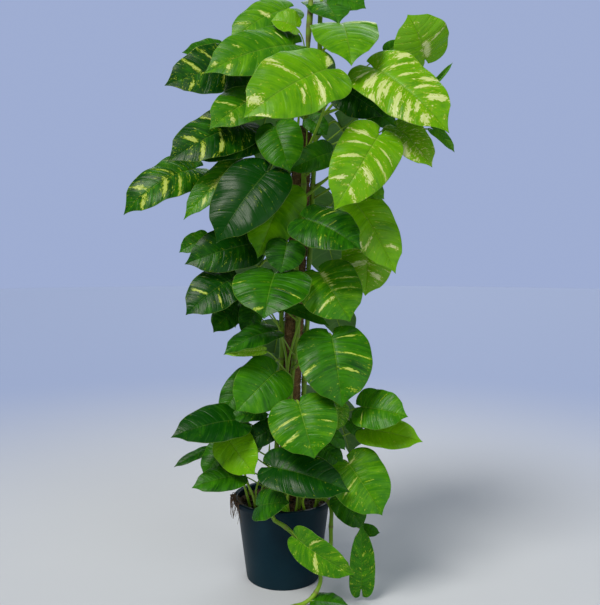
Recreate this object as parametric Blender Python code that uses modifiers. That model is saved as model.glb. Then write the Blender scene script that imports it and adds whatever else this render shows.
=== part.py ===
"""A potted golden pothos: a pot of soil, a coir pole, climbing and trailing vines, heart-shaped leaves.

Frame: metres, +Z up, origin at the centre of the pot's underside, -Y towards the plant's show side.
Every leaf is one grown piece: its blade and its petiole are a single closed body.
"""

from math import atan2, ceil, cos, pi, radians, sin

import bmesh
import bpy
from mathutils import Matrix, Vector

# Pot: a tapered injection-moulded nursery pot with a turned-out rim.
POT_HEIGHT = 0.155
POT_RIM_RADIUS = 0.095
POT_BODY_TOP_RADIUS = 0.0875
POT_BASE_RADIUS = 0.0695
POT_LIP_HEIGHT = 0.009
POT_WALL = 0.0018
POT_FLOOR = 0.0025
POT_STEPS = 48
DRAIN_HOLES = 8
DRAIN_RADIUS = 0.006
DRAIN_RING_RADIUS = 0.048

# Soil: a plug that fills the pot to just under the rim and rises to a low mound.
GAP = 0.0004
SOIL_EDGE_HEIGHT = 0.143
SOIL_MOUND_HEIGHT = 0.150
SOIL_STEPS = 32

# Coir pole: a wooden stake in a wrapped coir sleeve, leaning a little to the right.
POLE_FOOT = Vector((0.0, 0.0, 0.020))
POLE_TOP = Vector((0.037, 0.004, 0.835))
SLEEVE_RADIUS = 0.018
STAKE_RADIUS = 0.0105
STAKE_PROUD = 0.012

# Vines: each climbs beside the pole at one azimuth, in degrees from the show side towards +X.
VINE_RADIUS = 0.0040
VINE_OFFSET = SLEEVE_RADIUS + VINE_RADIUS + 0.0010
VINE_FOOT_HEIGHT = 0.130
LOWEST_ROOT_HEIGHT = 0.165
VINE_POINT_STEP = 0.022
CLIMBING_VINES = {
    "vine_front": (8, 0.800),
    "vine_left": (-72, 1.000),
    "vine_right": (84, 1.075),
    "vine_back": (176, 0.930),
}

# Leaves: blade thickness, petiole radius and mesh fineness shared by every leaf, and the far side's
# leaves, with the lowest one's height (mm), the rise from each to the next (mm) and their spread (degrees).
BLADE_THICKNESS = 0.0009
PETIOLE_RADIUS = 0.0016
PETIOLE_RINGS = 6
BLADE_COLUMNS = 6
BLADE_ROWS = 6
BACK_LEAVES = 12
BACK_LEAF_LOWEST = 270
BACK_LEAF_RISE = 66
BACK_LEAF_SPREAD = 50


def clear_scene():
    for item in list(bpy.data.objects):
        bpy.data.objects.remove(item, do_unlink=True)


def make_material(name, colour, roughness):
    material = bpy.data.materials.new(name)
    material.use_nodes = True
    shader = material.node_tree.nodes["Principled BSDF"]
    shader.inputs["Base Color"].default_value = (*colour, 1.0)
    shader.inputs["Roughness"].default_value = roughness
    shader.inputs["Metallic"].default_value = 0.0
    return material


def put_in_collection(item, collection):
    collection.objects.link(item)
    return item


def turned(name, profile, steps, material, collection):
    """Screw a profile in the XZ plane (top to bottom on its outer side) once round Z."""
    mesh = bpy.data.meshes.new(name)
    shape = bmesh.new()
    points = [shape.verts.new((radius, 0.0, height)) for radius, height in profile]
    for first, second in zip(points, points[1:]):
        shape.edges.new((first, second))
    shape.to_mesh(mesh)
    shape.free()
    mesh.materials.append(material)
    item = put_in_collection(bpy.data.objects.new(name, mesh), collection)
    screw = item.modifiers.new("turn", "SCREW")
    screw.steps = steps
    screw.render_steps = steps
    screw.use_merge_vertices = True
    screw.merge_threshold = 0.00005
    screw.use_smooth_shade = True
    return item


def cylinder_cutter(name, start, end, radius, segments, collection):
    """A hidden cylinder from start to end, for cutting holes."""
    axis = end - start
    mesh = bpy.data.meshes.new(name)
    shape = bmesh.new()
    bmesh.ops.create_cone(
        shape, cap_ends=True, segments=segments, radius1=radius, radius2=radius, depth=axis.length
    )
    turn = axis.to_track_quat("Z", "Y").to_matrix().to_4x4()
    bmesh.ops.transform(shape, matrix=Matrix.Translation((start + end) / 2) @ turn, verts=shape.verts)
    shape.to_mesh(mesh)
    shape.free()
    cutter = put_in_collection(bpy.data.objects.new(name, mesh), collection)
    cutter.hide_render = True
    cutter.display_type = "WIRE"
    return cutter


def cut(item, cutters):
    for cutter in cutters:
        boolean = item.modifiers.new(cutter.name, "BOOLEAN")
        boolean.operation = "DIFFERENCE"
        boolean.solver = "EXACT"
        boolean.object = cutter


def pole_axis(height):
    """The point on the leaning pole's axis, or on its line carried on above it, at a height."""
    share = (height - POLE_FOOT.z) / (POLE_TOP.z - POLE_FOOT.z)
    return POLE_FOOT.lerp(POLE_TOP, share)


def level_direction(azimuth):
    """The level unit vector at an azimuth in degrees, 0 towards the show side and 90 towards +X."""
    return Vector((sin(radians(azimuth)), -cos(radians(azimuth)), 0.0))


def vine_point(vine, height):
    """A climbing vine's centre at a height: it wanders a little round the pole and stays clear of it."""
    azimuth = CLIMBING_VINES[vine][0] + 9.0 * sin(height * 26.0 + CLIMBING_VINES[vine][0])
    offset = VINE_OFFSET + 0.0010 * (1.0 + sin(height * 41.0))
    return pole_axis(height) + level_direction(azimuth) * offset


def smooth_path(points, step):
    """Points about one step apart on the Catmull-Rom curve through the given points."""
    ends = [points[0] * 2 - points[1], *points, points[-1] * 2 - points[-2]]
    path = []
    for index in range(1, len(ends) - 2):
        before, first, second, after = ends[index - 1 : index + 3]
        count = max(1, ceil((second - first).length / step))
        for share in (number / count for number in range(count)):
            path.append(
                0.5
                * (
                    2 * first
                    + (second - before) * share
                    + (2 * before - 5 * first + 4 * second - after) * share**2
                    + (3 * first - before - 3 * second + after) * share**3
                )
            )
    return [*path, points[-1]]


def tube(name, points, radius, material, collection):
    """A round stem along a POLY spline, with filled ends."""
    curve = bpy.data.curves.new(name, "CURVE")
    curve.dimensions = "3D"
    curve.bevel_depth = radius
    curve.bevel_resolution = 2
    curve.use_fill_caps = True
    spline = curve.splines.new("POLY")
    spline.points.add(len(points) - 1)
    for place, point in zip(spline.points, points):
        place.co = (*point, 1.0)
    curve.materials.append(material)
    return put_in_collection(bpy.data.objects.new(name, curve), collection)


def pot_inner_radius(height):
    share = height / (POT_HEIGHT - POT_LIP_HEIGHT)
    return POT_BASE_RADIUS + (POT_BODY_TOP_RADIUS - POT_BASE_RADIUS) * share - POT_WALL


def build_pot(material, collection, cutters):
    """The pot: floor, tapered wall and a hollow turned-down lip, with a ring of drainage holes."""
    lip_foot = POT_HEIGHT - POT_LIP_HEIGHT
    profile = (
        (0.0, POT_FLOOR),
        (pot_inner_radius(POT_FLOOR) - 0.002, POT_FLOOR),
        (pot_inner_radius(POT_FLOOR + 0.002), POT_FLOOR + 0.002),
        (pot_inner_radius(lip_foot), lip_foot),
        (POT_BODY_TOP_RADIUS - 0.0010, POT_HEIGHT - 0.0012),
        (POT_BODY_TOP_RADIUS + 0.0005, POT_HEIGHT),
        (POT_RIM_RADIUS - 0.0012, POT_HEIGHT),
        (POT_RIM_RADIUS, POT_HEIGHT - 0.0012),
        (POT_RIM_RADIUS, lip_foot),
        (POT_RIM_RADIUS - POT_WALL, lip_foot),
        (POT_RIM_RADIUS - POT_WALL, POT_HEIGHT - POT_WALL),
        (POT_BODY_TOP_RADIUS + 0.0010, POT_HEIGHT - POT_WALL),
        (POT_BODY_TOP_RADIUS, lip_foot),
        (POT_BASE_RADIUS, 0.003),
        (POT_BASE_RADIUS - 0.003, 0.0),
        (0.0, 0.0),
    )
    pot = turned("pot", profile, POT_STEPS, material, collection)
    holes = []
    for number in range(DRAIN_HOLES):
        foot = level_direction(360 * number / DRAIN_HOLES + 22.5) * DRAIN_RING_RADIUS
        ends = foot + Vector((0, 0, -0.01)), foot + Vector((0, 0, 0.01))
        holes.append(cylinder_cutter(f"drain_cutter_{number + 1}", *ends, DRAIN_RADIUS, 12, cutters))
    cut(pot, holes)


def build_soil(material, trails, collection, cutters):
    """The soil plug, with sockets for the pole and for the foot of every vine."""
    profile = (
        (0.0, SOIL_MOUND_HEIGHT),
        (0.045, SOIL_MOUND_HEIGHT - 0.001),
        (pot_inner_radius(SOIL_EDGE_HEIGHT) - GAP, SOIL_EDGE_HEIGHT),
        (pot_inner_radius(POT_FLOOR + 0.004) - GAP, POT_FLOOR + 0.004),
        (pot_inner_radius(POT_FLOOR) - 0.004, POT_FLOOR + GAP),
        (0.0, POT_FLOOR + GAP),
    )
    soil = turned("soil", profile, SOIL_STEPS, material, collection)
    above = pole_axis(SOIL_MOUND_HEIGHT + 0.03)
    below = pole_axis(POLE_FOOT.z - GAP)
    sockets = [cylinder_cutter("pole_socket_cutter", below, above, SLEEVE_RADIUS + GAP, 24, cutters)]
    ends = VINE_FOOT_HEIGHT, LOWEST_ROOT_HEIGHT
    feet = {vine: [vine_point(vine, height) for height in ends] for vine in CLIMBING_VINES}
    feet |= {trail: (path[0], path[3]) for trail, path in trails.items()}
    for vine, (foot, higher) in feet.items():
        sunk = foot - (higher - foot).normalized() * 0.002
        sockets.append(cylinder_cutter(f"{vine}_cutter", sunk, higher, VINE_RADIUS + 0.0018, 12, cutters))
    cut(soil, sockets)


def build_pole(sleeve_material, stake_material, collection, cutters):
    """The coir sleeve, bored through for the stake, and the stake that stands a little proud of it."""
    lean = (POLE_TOP - POLE_FOOT).to_track_quat("Z", "Y")
    length = (POLE_TOP - POLE_FOOT).length
    for name, radius, extra, segments, material in (
        ("coir_sleeve", SLEEVE_RADIUS, 0.0, 24, sleeve_material),
        ("pole_stake", STAKE_RADIUS - GAP, STAKE_PROUD, 16, stake_material),
    ):
        mesh = bpy.data.meshes.new(name)
        shape = bmesh.new()
        bmesh.ops.create_cone(
            shape, cap_ends=True, segments=segments, radius1=radius, radius2=radius, depth=length + extra
        )
        bmesh.ops.translate(shape, verts=shape.verts, vec=(0, 0, (length + extra) / 2))
        shape.to_mesh(mesh)
        shape.free()
        mesh.materials.append(material)
        item = put_in_collection(bpy.data.objects.new(name, mesh), collection)
        item.location = POLE_FOOT
        item.rotation_mode = "QUATERNION"
        item.rotation_quaternion = lean
        if name == "coir_sleeve":
            beyond = (POLE_TOP - POLE_FOOT).normalized() * 0.01
            bore = cylinder_cutter(
                "sleeve_bore_cutter", POLE_FOOT - beyond, POLE_TOP + beyond, STAKE_RADIUS, 16, cutters
            )
            cut(item, [bore])


def half_outline(row):
    """Half a unit heart's edge, from the notch (row 0) round the lobe to the tip (row 1)."""
    lobe_end = 0.3
    if row < lobe_end:
        angle = -0.62 * pi * (1 - row / lobe_end)
        return 0.17 + 0.33 * cos(angle), 0.16 + 0.31 * sin(angle)
    share = (row - lobe_end) / (1 - lobe_end)
    return 0.5 * cos(pi / 2 * share**1.55) ** 0.88, 0.16 + 0.84 * share


def blade_place(column, row):
    """A point of the flat unit blade: column -1 to 1 across, row 0 at the lobes to 1 at the tip."""
    edge_x, edge_y = half_outline(row)
    midrib_y = row**2.2
    share = abs(column)
    bend_x, bend_y = 0.6 * edge_x, midrib_y + 0.35 * (edge_y - midrib_y)
    x = 2 * share * (1 - share) * bend_x + share**2 * edge_x
    y = (1 - share) ** 2 * midrib_y + 2 * share * (1 - share) * bend_y + share**2 * edge_y
    return (x if column >= 0 else -x), y


class Leaf:
    """One leaf: where its blade starts and ends, which way its upper side faces, and how it is formed."""

    def __init__(self, junction, tip, width, azimuth, rise, cup, sag, wave):
        self.junction = junction
        self.tip = tip
        self.width = width
        self.cup = cup
        self.wave = wave
        chord = self.tip - self.junction
        self.along = chord.normalized()
        facing = level_direction(azimuth) * cos(radians(rise)) + Vector((0, 0, sin(radians(rise))))
        self.up = (facing - self.along * facing.dot(self.along)).normalized()
        self.across = self.along.cross(self.up)
        self.half_sag = radians(sag) / 2
        self.radius = chord.length / 2 / sin(self.half_sag)
        self.phase = self.junction.x * 90 + self.junction.z * 50

    def midrib(self, share):
        """The point and the upward normal on the arched midrib, at a share of its length."""
        angle = self.half_sag * (1 - 2 * share)
        run = self.radius * (sin(self.half_sag) - sin(angle))
        lift = self.radius * (cos(angle) - cos(self.half_sag))
        normal = self.up * cos(angle) - self.along * sin(angle)
        return self.junction + self.along * run + self.up * lift, normal

    def surface(self, column, row):
        """A point on the middle of the blade and the blade's upward direction there."""
        x, y = blade_place(column, row)
        centre, normal = self.midrib(y)
        out = abs(x) * 2
        ripple = self.wave * sin(row * 11.0 + self.phase + (1.7 if column < 0 else 0.0))
        height = 0.5 * (0.22 * out + (self.cup - 0.12) * out**2) + ripple * out**2
        return centre + self.across * x * self.width + normal * height * self.width, normal


def petiole_path(leaf, root, outward):
    """Centres from just behind the blade's junction down to the root on the vine."""
    reach = (leaf.junction - root).length
    arrive = leaf.junction - leaf.along * 0.22 * reach - leaf.up * 0.16 * reach
    leave = root + outward * 0.30 * reach + Vector((0, 0, 0.12 * reach))
    path = []
    for number in range(1, PETIOLE_RINGS + 1):
        share = (number / PETIOLE_RINGS) ** 0.85
        rest = 1 - share
        path.append(
            leaf.junction * rest**3
            + arrive * 3 * share * rest**2
            + leave * 3 * share**2 * rest
            + root * share**3
        )
    return path


def notch_angles(ring, leaf):
    """The place round the petiole, as an angle, of each of the six corners of the opened notch."""
    normal = leaf.midrib(0)[1]
    ordered = sorted(ring, key=lambda vert: (vert.co - leaf.junction).dot(leaf.across))
    angles = {}
    for pair, side_angle in zip((ordered[0:2], ordered[2:4], ordered[4:6]), (150, 90, 30)):
        low, high = sorted(pair, key=lambda vert: vert.co.dot(normal))
        angles[high] = radians(side_angle)
        angles[low] = -radians(side_angle)
    return angles


def grow_petiole(shape, leaf, path, outward):
    """Extrude the open notch between the lobes along the petiole and close its end."""
    loop = [edge for edge in shape.edges if edge.is_boundary]
    angles = notch_angles({vert for edge in loop for vert in edge.verts}, leaf)
    upward = leaf.midrib(0)[1]
    before = leaf.junction
    for number, centre in enumerate(path):
        last = number == len(path) - 1
        direction = -outward if last else (path[number + 1] - before).normalized()
        upward = (upward - direction * upward.dot(direction)).normalized()
        sideways = upward.cross(direction)
        grown = bmesh.ops.extrude_edge_only(shape, edges=loop)["geom"]
        ring = [part for part in grown if isinstance(part, bmesh.types.BMVert)]
        known = {vert: [edge.other_vert(vert) for edge in vert.link_edges] for vert in ring}
        angles = {
            vert: next(angles[other] for other in others if other in angles)
            for vert, others in known.items()
        }
        for vert, angle in angles.items():
            vert.co = centre + (sideways * cos(angle) + upward * sin(angle)) * PETIOLE_RADIUS
        loop = [edge for edge in shape.edges if edge.is_boundary]
        before = centre
    bmesh.ops.contextual_create(shape, geom=loop)


def build_leaf(name, leaf, root, outward, material, collection):
    """A blade from a warped grid, thickened, whose petiole is extruded from the notch between its lobes."""
    shape = bmesh.new()
    bmesh.ops.create_grid(shape, x_segments=BLADE_COLUMNS, y_segments=BLADE_ROWS, size=1.0)
    for vert in shape.verts:
        place, normal = leaf.surface(vert.co.x, (vert.co.y + 1) / 2)
        vert.co = place + normal * BLADE_THICKNESS / 2
    bmesh.ops.remove_doubles(shape, verts=shape.verts, dist=0.0002)
    bmesh.ops.solidify(shape, geom=shape.faces, thickness=BLADE_THICKNESS)
    notch = sorted(shape.verts, key=lambda vert: (vert.co - leaf.junction).length)[:2]
    opened = [face for face in shape.faces if all(vert in face.verts for vert in notch)]
    bmesh.ops.delete(shape, geom=opened, context="FACES_ONLY")
    bmesh.ops.delete(shape, geom=[edge for edge in shape.edges if edge.is_wire], context="EDGES")
    grow_petiole(shape, leaf, petiole_path(leaf, root, outward), outward)
    bmesh.ops.recalc_face_normals(shape, faces=shape.faces)
    mesh = bpy.data.meshes.new(name)
    shape.to_mesh(mesh)
    shape.free()
    mesh.shade_smooth()
    mesh.materials.append(material)
    return put_in_collection(bpy.data.objects.new(name, mesh), collection)


def root_on(centre, along, target):
    """The place on a vine's surface facing a target, and the direction out of the vine there."""
    towards = target - centre
    outward = (towards - along * towards.dot(along)).normalized()
    return centre + outward * (VINE_RADIUS + 0.0006), outward


def climbing_root(junction):
    """Where a leaf joins the climbing vine nearest to it in azimuth, some way below the blade."""
    away = junction - pole_axis(junction.z)
    azimuth = atan2(away.x, -away.y) * 180 / pi

    def turn_to(name):
        difference = abs(azimuth - CLIMBING_VINES[name][0]) % 360
        return min(difference, 360 - difference)

    vine = min(CLIMBING_VINES, key=turn_to)
    height = min(max(junction.z - 0.45 * away.length, LOWEST_ROOT_HEIGHT), CLIMBING_VINES[vine][1] - 0.012)
    centre = vine_point(vine, height)
    along = (vine_point(vine, height + 0.005) - vine_point(vine, height - 0.005)).normalized()
    return root_on(centre, along, junction)


def trailing_root(junction, path, share):
    """Where a leaf joins a trailing vine, at a share of the way along it."""
    index = int(share * (len(path) - 2))
    return root_on(path[index], (path[index + 1] - path[index]).normalized(), junction)


# Each leaf: junction of blade and petiole and tip of blade (mm), width (mm), azimuth and rise of the
# upper side's facing (degrees), cup of the margins, sag of the midrib (degrees), wave of the margins.
LEAVES = (
    ("leaf_01", (75, -155, 910), (-55, -220, 820), 128, -10, 15, -0.12, 35, 0.04),
    ("leaf_02", (155, -105, 925), (270, -175, 805), 122, 12, 15, -0.12, 35, 0.04),
    ("leaf_03", (105, -50, 1015), (115, -155, 915), 116, 0, 50, -0.15, 45, 0.03),
    ("leaf_04", (20, -45, 980), (-130, -105, 915), 108, -12, 20, -0.15, 35, 0.03),
    ("leaf_05", (10, 25, 1065), (-95, -20, 990), 86, -15, 20, -0.15, 40, 0.03),
    ("leaf_06", (255, -25, 960), (220, -50, 1030), 120, 15, 5, -0.1, 50, 0.03),
    ("leaf_07", (-75, -45, 945), (-200, -85, 900), 98, -20, 10, -0.05, 25, 0.05),
    ("leaf_08", (-25, -55, 895), (-120, -120, 820), 94, -15, 15, -0.12, 30, 0.03),
    ("leaf_09", (-65, -65, 840), (-190, -125, 765), 98, -18, 12, -0.15, 35, 0.04),
    ("leaf_10", (-155, -40, 765), (-275, -80, 680), 92, -25, 15, -0.15, 60, 0.05),
    ("leaf_11", (-75, -75, 770), (-165, -115, 670), 56, -15, 15, -0.05, 30, 0.03),
    ("leaf_12", (-25, -110, 750), (-105, -155, 630), 116, -10, 15, -0.15, 35, 0.03),
    ("leaf_13", (5, -85, 720), (-40, -115, 605), 92, -5, 10, -0.12, 25, 0.03),
    ("leaf_14", (160, -150, 805), (85, -205, 680), 102, 8, 18, -0.15, 40, 0.03),
    ("leaf_15", (195, -110, 825), (250, -140, 755), 70, 15, 15, -0.1, 30, 0.03),
    ("leaf_16", (-10, -85, 830), (15, -115, 750), 80, 0, 12, -0.12, 30, 0.03),
    ("leaf_17", (40, -150, 670), (130, -190, 620), 96, 8, 35, -0.15, 35, 0.03),
    ("leaf_18", (125, -115, 700), (190, -150, 580), 90, 15, 12, -0.12, 35, 0.03),
    ("leaf_19", (150, -70, 625), (145, -95, 540), 92, 12, 0, -0.12, 25, 0.03),
    ("leaf_20", (10, -125, 630), (0, -145, 580), 68, 0, 15, -0.12, 30, 0.03),
    ("leaf_21", (-10, -140, 580), (-25, -205, 510), 130, -5, 40, -0.15, 40, 0.03),
    ("leaf_22", (65, -115, 580), (115, -155, 500), 112, 10, 15, -0.15, 35, 0.03),
    ("leaf_23", (-85, -95, 570), (-160, -135, 510), 86, -20, 15, -0.15, 40, 0.03),
    ("leaf_24", (-55, -75, 630), (-165, -110, 595), 86, -18, 15, -0.12, 30, 0.03),
    ("leaf_25", (-15, -110, 480), (-95, -150, 445), 62, -10, 60, -0.1, 40, 0.04),
    ("leaf_26", (85, -145, 475), (100, -190, 365), 124, 6, 12, -0.15, 35, 0.03),
    ("leaf_27", (-10, -115, 410), (-75, -155, 350), 94, -5, 15, -0.12, 35, 0.03),
    ("leaf_28", (30, -165, 365), (55, -205, 285), 114, 0, 15, -0.15, 35, 0.03),
    ("leaf_29", (-75, -105, 325), (-185, -150, 305), 80, -20, 40, -0.12, 35, 0.03),
    ("leaf_30", (-95, -95, 290), (-45, -130, 235), 76, -5, 10, -0.1, 25, 0.03),
    ("leaf_31", (-75, -100, 225), (-155, -125, 210), 52, -20, 38, -0.1, 35, 0.03),
    ("leaf_32", (-15, -150, 255), (115, -175, 220), 82, 5, 42, -0.1, 35, 0.03),
    ("leaf_33", (135, -140, 355), (210, -170, 345), 76, 15, 30, -0.1, 35, 0.04),
    ("leaf_34", (145, -110, 310), (240, -140, 295), 62, 20, 28, -0.1, 35, 0.04),
    ("leaf_35", (115, -130, 255), (170, -160, 175), 100, 12, 12, -0.12, 35, 0.03),
    ("leaf_36", (-40, -115, 175), (15, -155, 195), 60, 5, 40, -0.05, 30, 0.03),
    ("leaf_37", (30, -140, 125), (125, -165, 75), 64, -25, 0, 0.0, 35, 0.03),
    ("leaf_38", (140, -110, 25), (140, -105, 140), 46, 5, 0, 0.15, 20, 0.04),
)


# Leaves that grow from a trailing vine, and how far along it, as a share of its length.
TRAILING = {
    "leaf_36": ("trail_front", 0.3),
    "leaf_37": ("trail_front", 0.42),
    "leaf_38": ("trail_right", 0.9),
}


def back_leaves():
    """The leaves on the far side, spread to and fro up the pole, in the form of LEAVES' rows."""
    for number in range(BACK_LEAVES):
        height = BACK_LEAF_LOWEST + BACK_LEAF_RISE * number
        azimuth = 180 + BACK_LEAF_SPREAD * sin(2.4 * number + 1.9)
        outward = level_direction(azimuth)
        reach = 78 + 26 * (number * 5 % 4) / 3
        blade = 128 + 12 * (number * 3 % 4)
        junction = pole_axis(height / 1000) * 1000 + outward * reach
        tip = junction + outward * 0.50 * blade - Vector((0, 0, 0.84 * blade))
        yield (
            f"leaf_{len(LEAVES) + number + 1}",
            tuple(round(value) for value in junction),
            tuple(round(value) for value in tip),
            0.80 * blade,
            azimuth,
            22,
            -0.12,
            36,
            0.03,
        )


TRAIL_FRONT = (
    (-18, -58, 128), (-21, -68, 155), (-22, -84, 163), (-19, -99, 160), (-13, -111, 149),
    (6, -115, 138), (27, -115, 118), (52, -115, 84), (68, -113, 48), (60, -119, 22),
    (42, -127, 8), (22, -138, 6), (4, -146, 6),
)
TRAIL_RIGHT = (
    (56, -38, 128), (64, -44, 158), (74, -52, 166), (84, -60, 162), (89, -64, 146),
    (88, -67, 120), (88, -72, 90), (86, -80, 62), (92, -88, 40),
)


def build():
    clear_scene()
    plant = bpy.data.collections.new("potted_pothos")
    cutters = bpy.data.collections.new("cutters")
    for collection in (plant, cutters):
        bpy.context.scene.collection.children.link(collection)
    pot_plastic = make_material("pot_plastic", (0.012, 0.022, 0.032), 0.55)
    peat = make_material("peat", (0.020, 0.013, 0.008), 0.95)
    coir = make_material("coir", (0.130, 0.070, 0.032), 0.90)
    stake_wood = make_material("stake_wood", (0.330, 0.210, 0.110), 0.70)
    stem_green = make_material("stem_green", (0.130, 0.260, 0.035), 0.45)
    leaf_green = make_material("leaf_green", (0.070, 0.250, 0.020), 0.35)

    build_pot(pot_plastic, plant, cutters)
    trails = {
        "trail_front": smooth_path([Vector(point) / 1000 for point in TRAIL_FRONT], 0.011),
        "trail_right": smooth_path([Vector(point) / 1000 for point in TRAIL_RIGHT], 0.011),
    }
    build_soil(peat, trails, plant, cutters)
    build_pole(coir, stake_wood, plant, cutters)
    for vine, (_, top) in CLIMBING_VINES.items():
        rise = top - VINE_FOOT_HEIGHT
        count = ceil(rise / VINE_POINT_STEP)
        heights = [VINE_FOOT_HEIGHT + rise * number / count for number in range(count + 1)]
        tube(vine, [vine_point(vine, height) for height in heights], VINE_RADIUS, stem_green, plant)
    for vine, path in trails.items():
        tube(vine, path, VINE_RADIUS, stem_green, plant)
    for name, junction, tip, width, azimuth, rise, cup, sag, wave in (*LEAVES, *back_leaves()):
        leaf = Leaf(Vector(junction) / 1000, Vector(tip) / 1000, width / 1000, azimuth, rise, cup, sag, wave)
        if name in TRAILING:
            trail, share = TRAILING[name]
            root, outward = trailing_root(leaf.junction, trails[trail], share)
        else:
            root, outward = climbing_root(leaf.junction)
        build_leaf(name, leaf, root, outward, leaf_green, plant)


build()
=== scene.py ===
import random
from math import atan2, ceil, cos, exp, pi, radians, sin

import bmesh
import bpy
from mathutils import Matrix, Vector, noise


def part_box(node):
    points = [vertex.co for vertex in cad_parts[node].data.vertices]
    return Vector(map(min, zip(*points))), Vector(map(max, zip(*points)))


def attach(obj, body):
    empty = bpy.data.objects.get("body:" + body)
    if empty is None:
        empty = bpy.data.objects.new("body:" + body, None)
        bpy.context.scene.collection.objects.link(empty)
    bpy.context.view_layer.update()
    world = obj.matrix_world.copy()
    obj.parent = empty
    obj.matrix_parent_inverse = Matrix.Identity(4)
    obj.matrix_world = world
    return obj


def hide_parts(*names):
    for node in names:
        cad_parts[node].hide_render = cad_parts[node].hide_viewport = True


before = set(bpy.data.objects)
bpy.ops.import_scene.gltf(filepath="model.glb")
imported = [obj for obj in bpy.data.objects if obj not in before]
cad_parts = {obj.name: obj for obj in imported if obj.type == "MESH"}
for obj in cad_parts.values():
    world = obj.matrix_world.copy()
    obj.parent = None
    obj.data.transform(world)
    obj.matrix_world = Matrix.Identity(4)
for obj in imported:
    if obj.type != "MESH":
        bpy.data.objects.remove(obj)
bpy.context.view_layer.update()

# ---------------------------------------------------------------------------------------------
# Pot: an injection-moulded nursery pot in dark navy polypropylene, tapered so that pots nest. The rim
# is turned out and down into a hollow lip. It stands on its flat base and carries the plant. The
# drainage holes in its floor, which the soil hides, aren't cut here.

POT_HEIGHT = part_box("pot")[1][2]
RIM_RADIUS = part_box("pot")[1][0]
BODY_TOP_RADIUS = RIM_RADIUS - 0.0075
BASE_RADIUS = 0.0695
LIP_HEIGHT = 0.009
LIP_ROUND = 0.0016
LIP_HOLLOW_TOP = 0.0026
POT_WALL = 0.0018
POT_FLOOR = 0.0025
FOOT_ROUND = 0.0030
QUARTER_TURNS = [pi / 2 * step / 5 for step in range(1, 6)]
WELD = 0.00002


def new_object(name, shape):
    """Turn a finished bmesh into an object at the origin."""
    mesh = bpy.data.meshes.new(name)
    shape.to_mesh(mesh)
    shape.free()
    item = bpy.data.objects.new(name, mesh)
    bpy.context.scene.collection.objects.link(item)
    return item


def turn_profile(profile, steps, closed=False):
    """A new bmesh with a profile of radii and heights spun about the upright axis."""
    shape = bmesh.new()
    verts = [shape.verts.new((radius, 0, height)) for radius, height in profile]
    edges = [shape.edges.new(pair) for pair in zip(verts, verts[1:])]
    if closed:
        edges.append(shape.edges.new((verts[-1], verts[0])))
    bmesh.ops.spin(
        shape, geom=verts + edges, axis=(0, 0, 1), cent=(0, 0, 0), angle=2 * pi, steps=steps, use_merge=True
    )
    bmesh.ops.remove_doubles(shape, verts=shape.verts, dist=WELD)
    return shape


def wall_radius(height):
    """The pot wall's inner radius at a height."""
    share = min(height / (POT_HEIGHT - LIP_HEIGHT), 1.0)
    return BASE_RADIUS + (BODY_TOP_RADIUS - BASE_RADIUS) * share - POT_WALL


def new_group(name, inputs, outputs):
    """An empty shader node group with named sockets, and its input and output nodes."""
    tree = bpy.data.node_groups.new(name, "ShaderNodeTree")
    for label, kind, value in inputs:
        socket = tree.interface.new_socket(label, in_out="INPUT", socket_type=kind)
        if value is not None:
            socket.default_value = value
    for label, kind in outputs:
        tree.interface.new_socket(label, in_out="OUTPUT", socket_type=kind)
    return tree, tree.nodes.new("NodeGroupInput"), tree.nodes.new("NodeGroupOutput")


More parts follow.
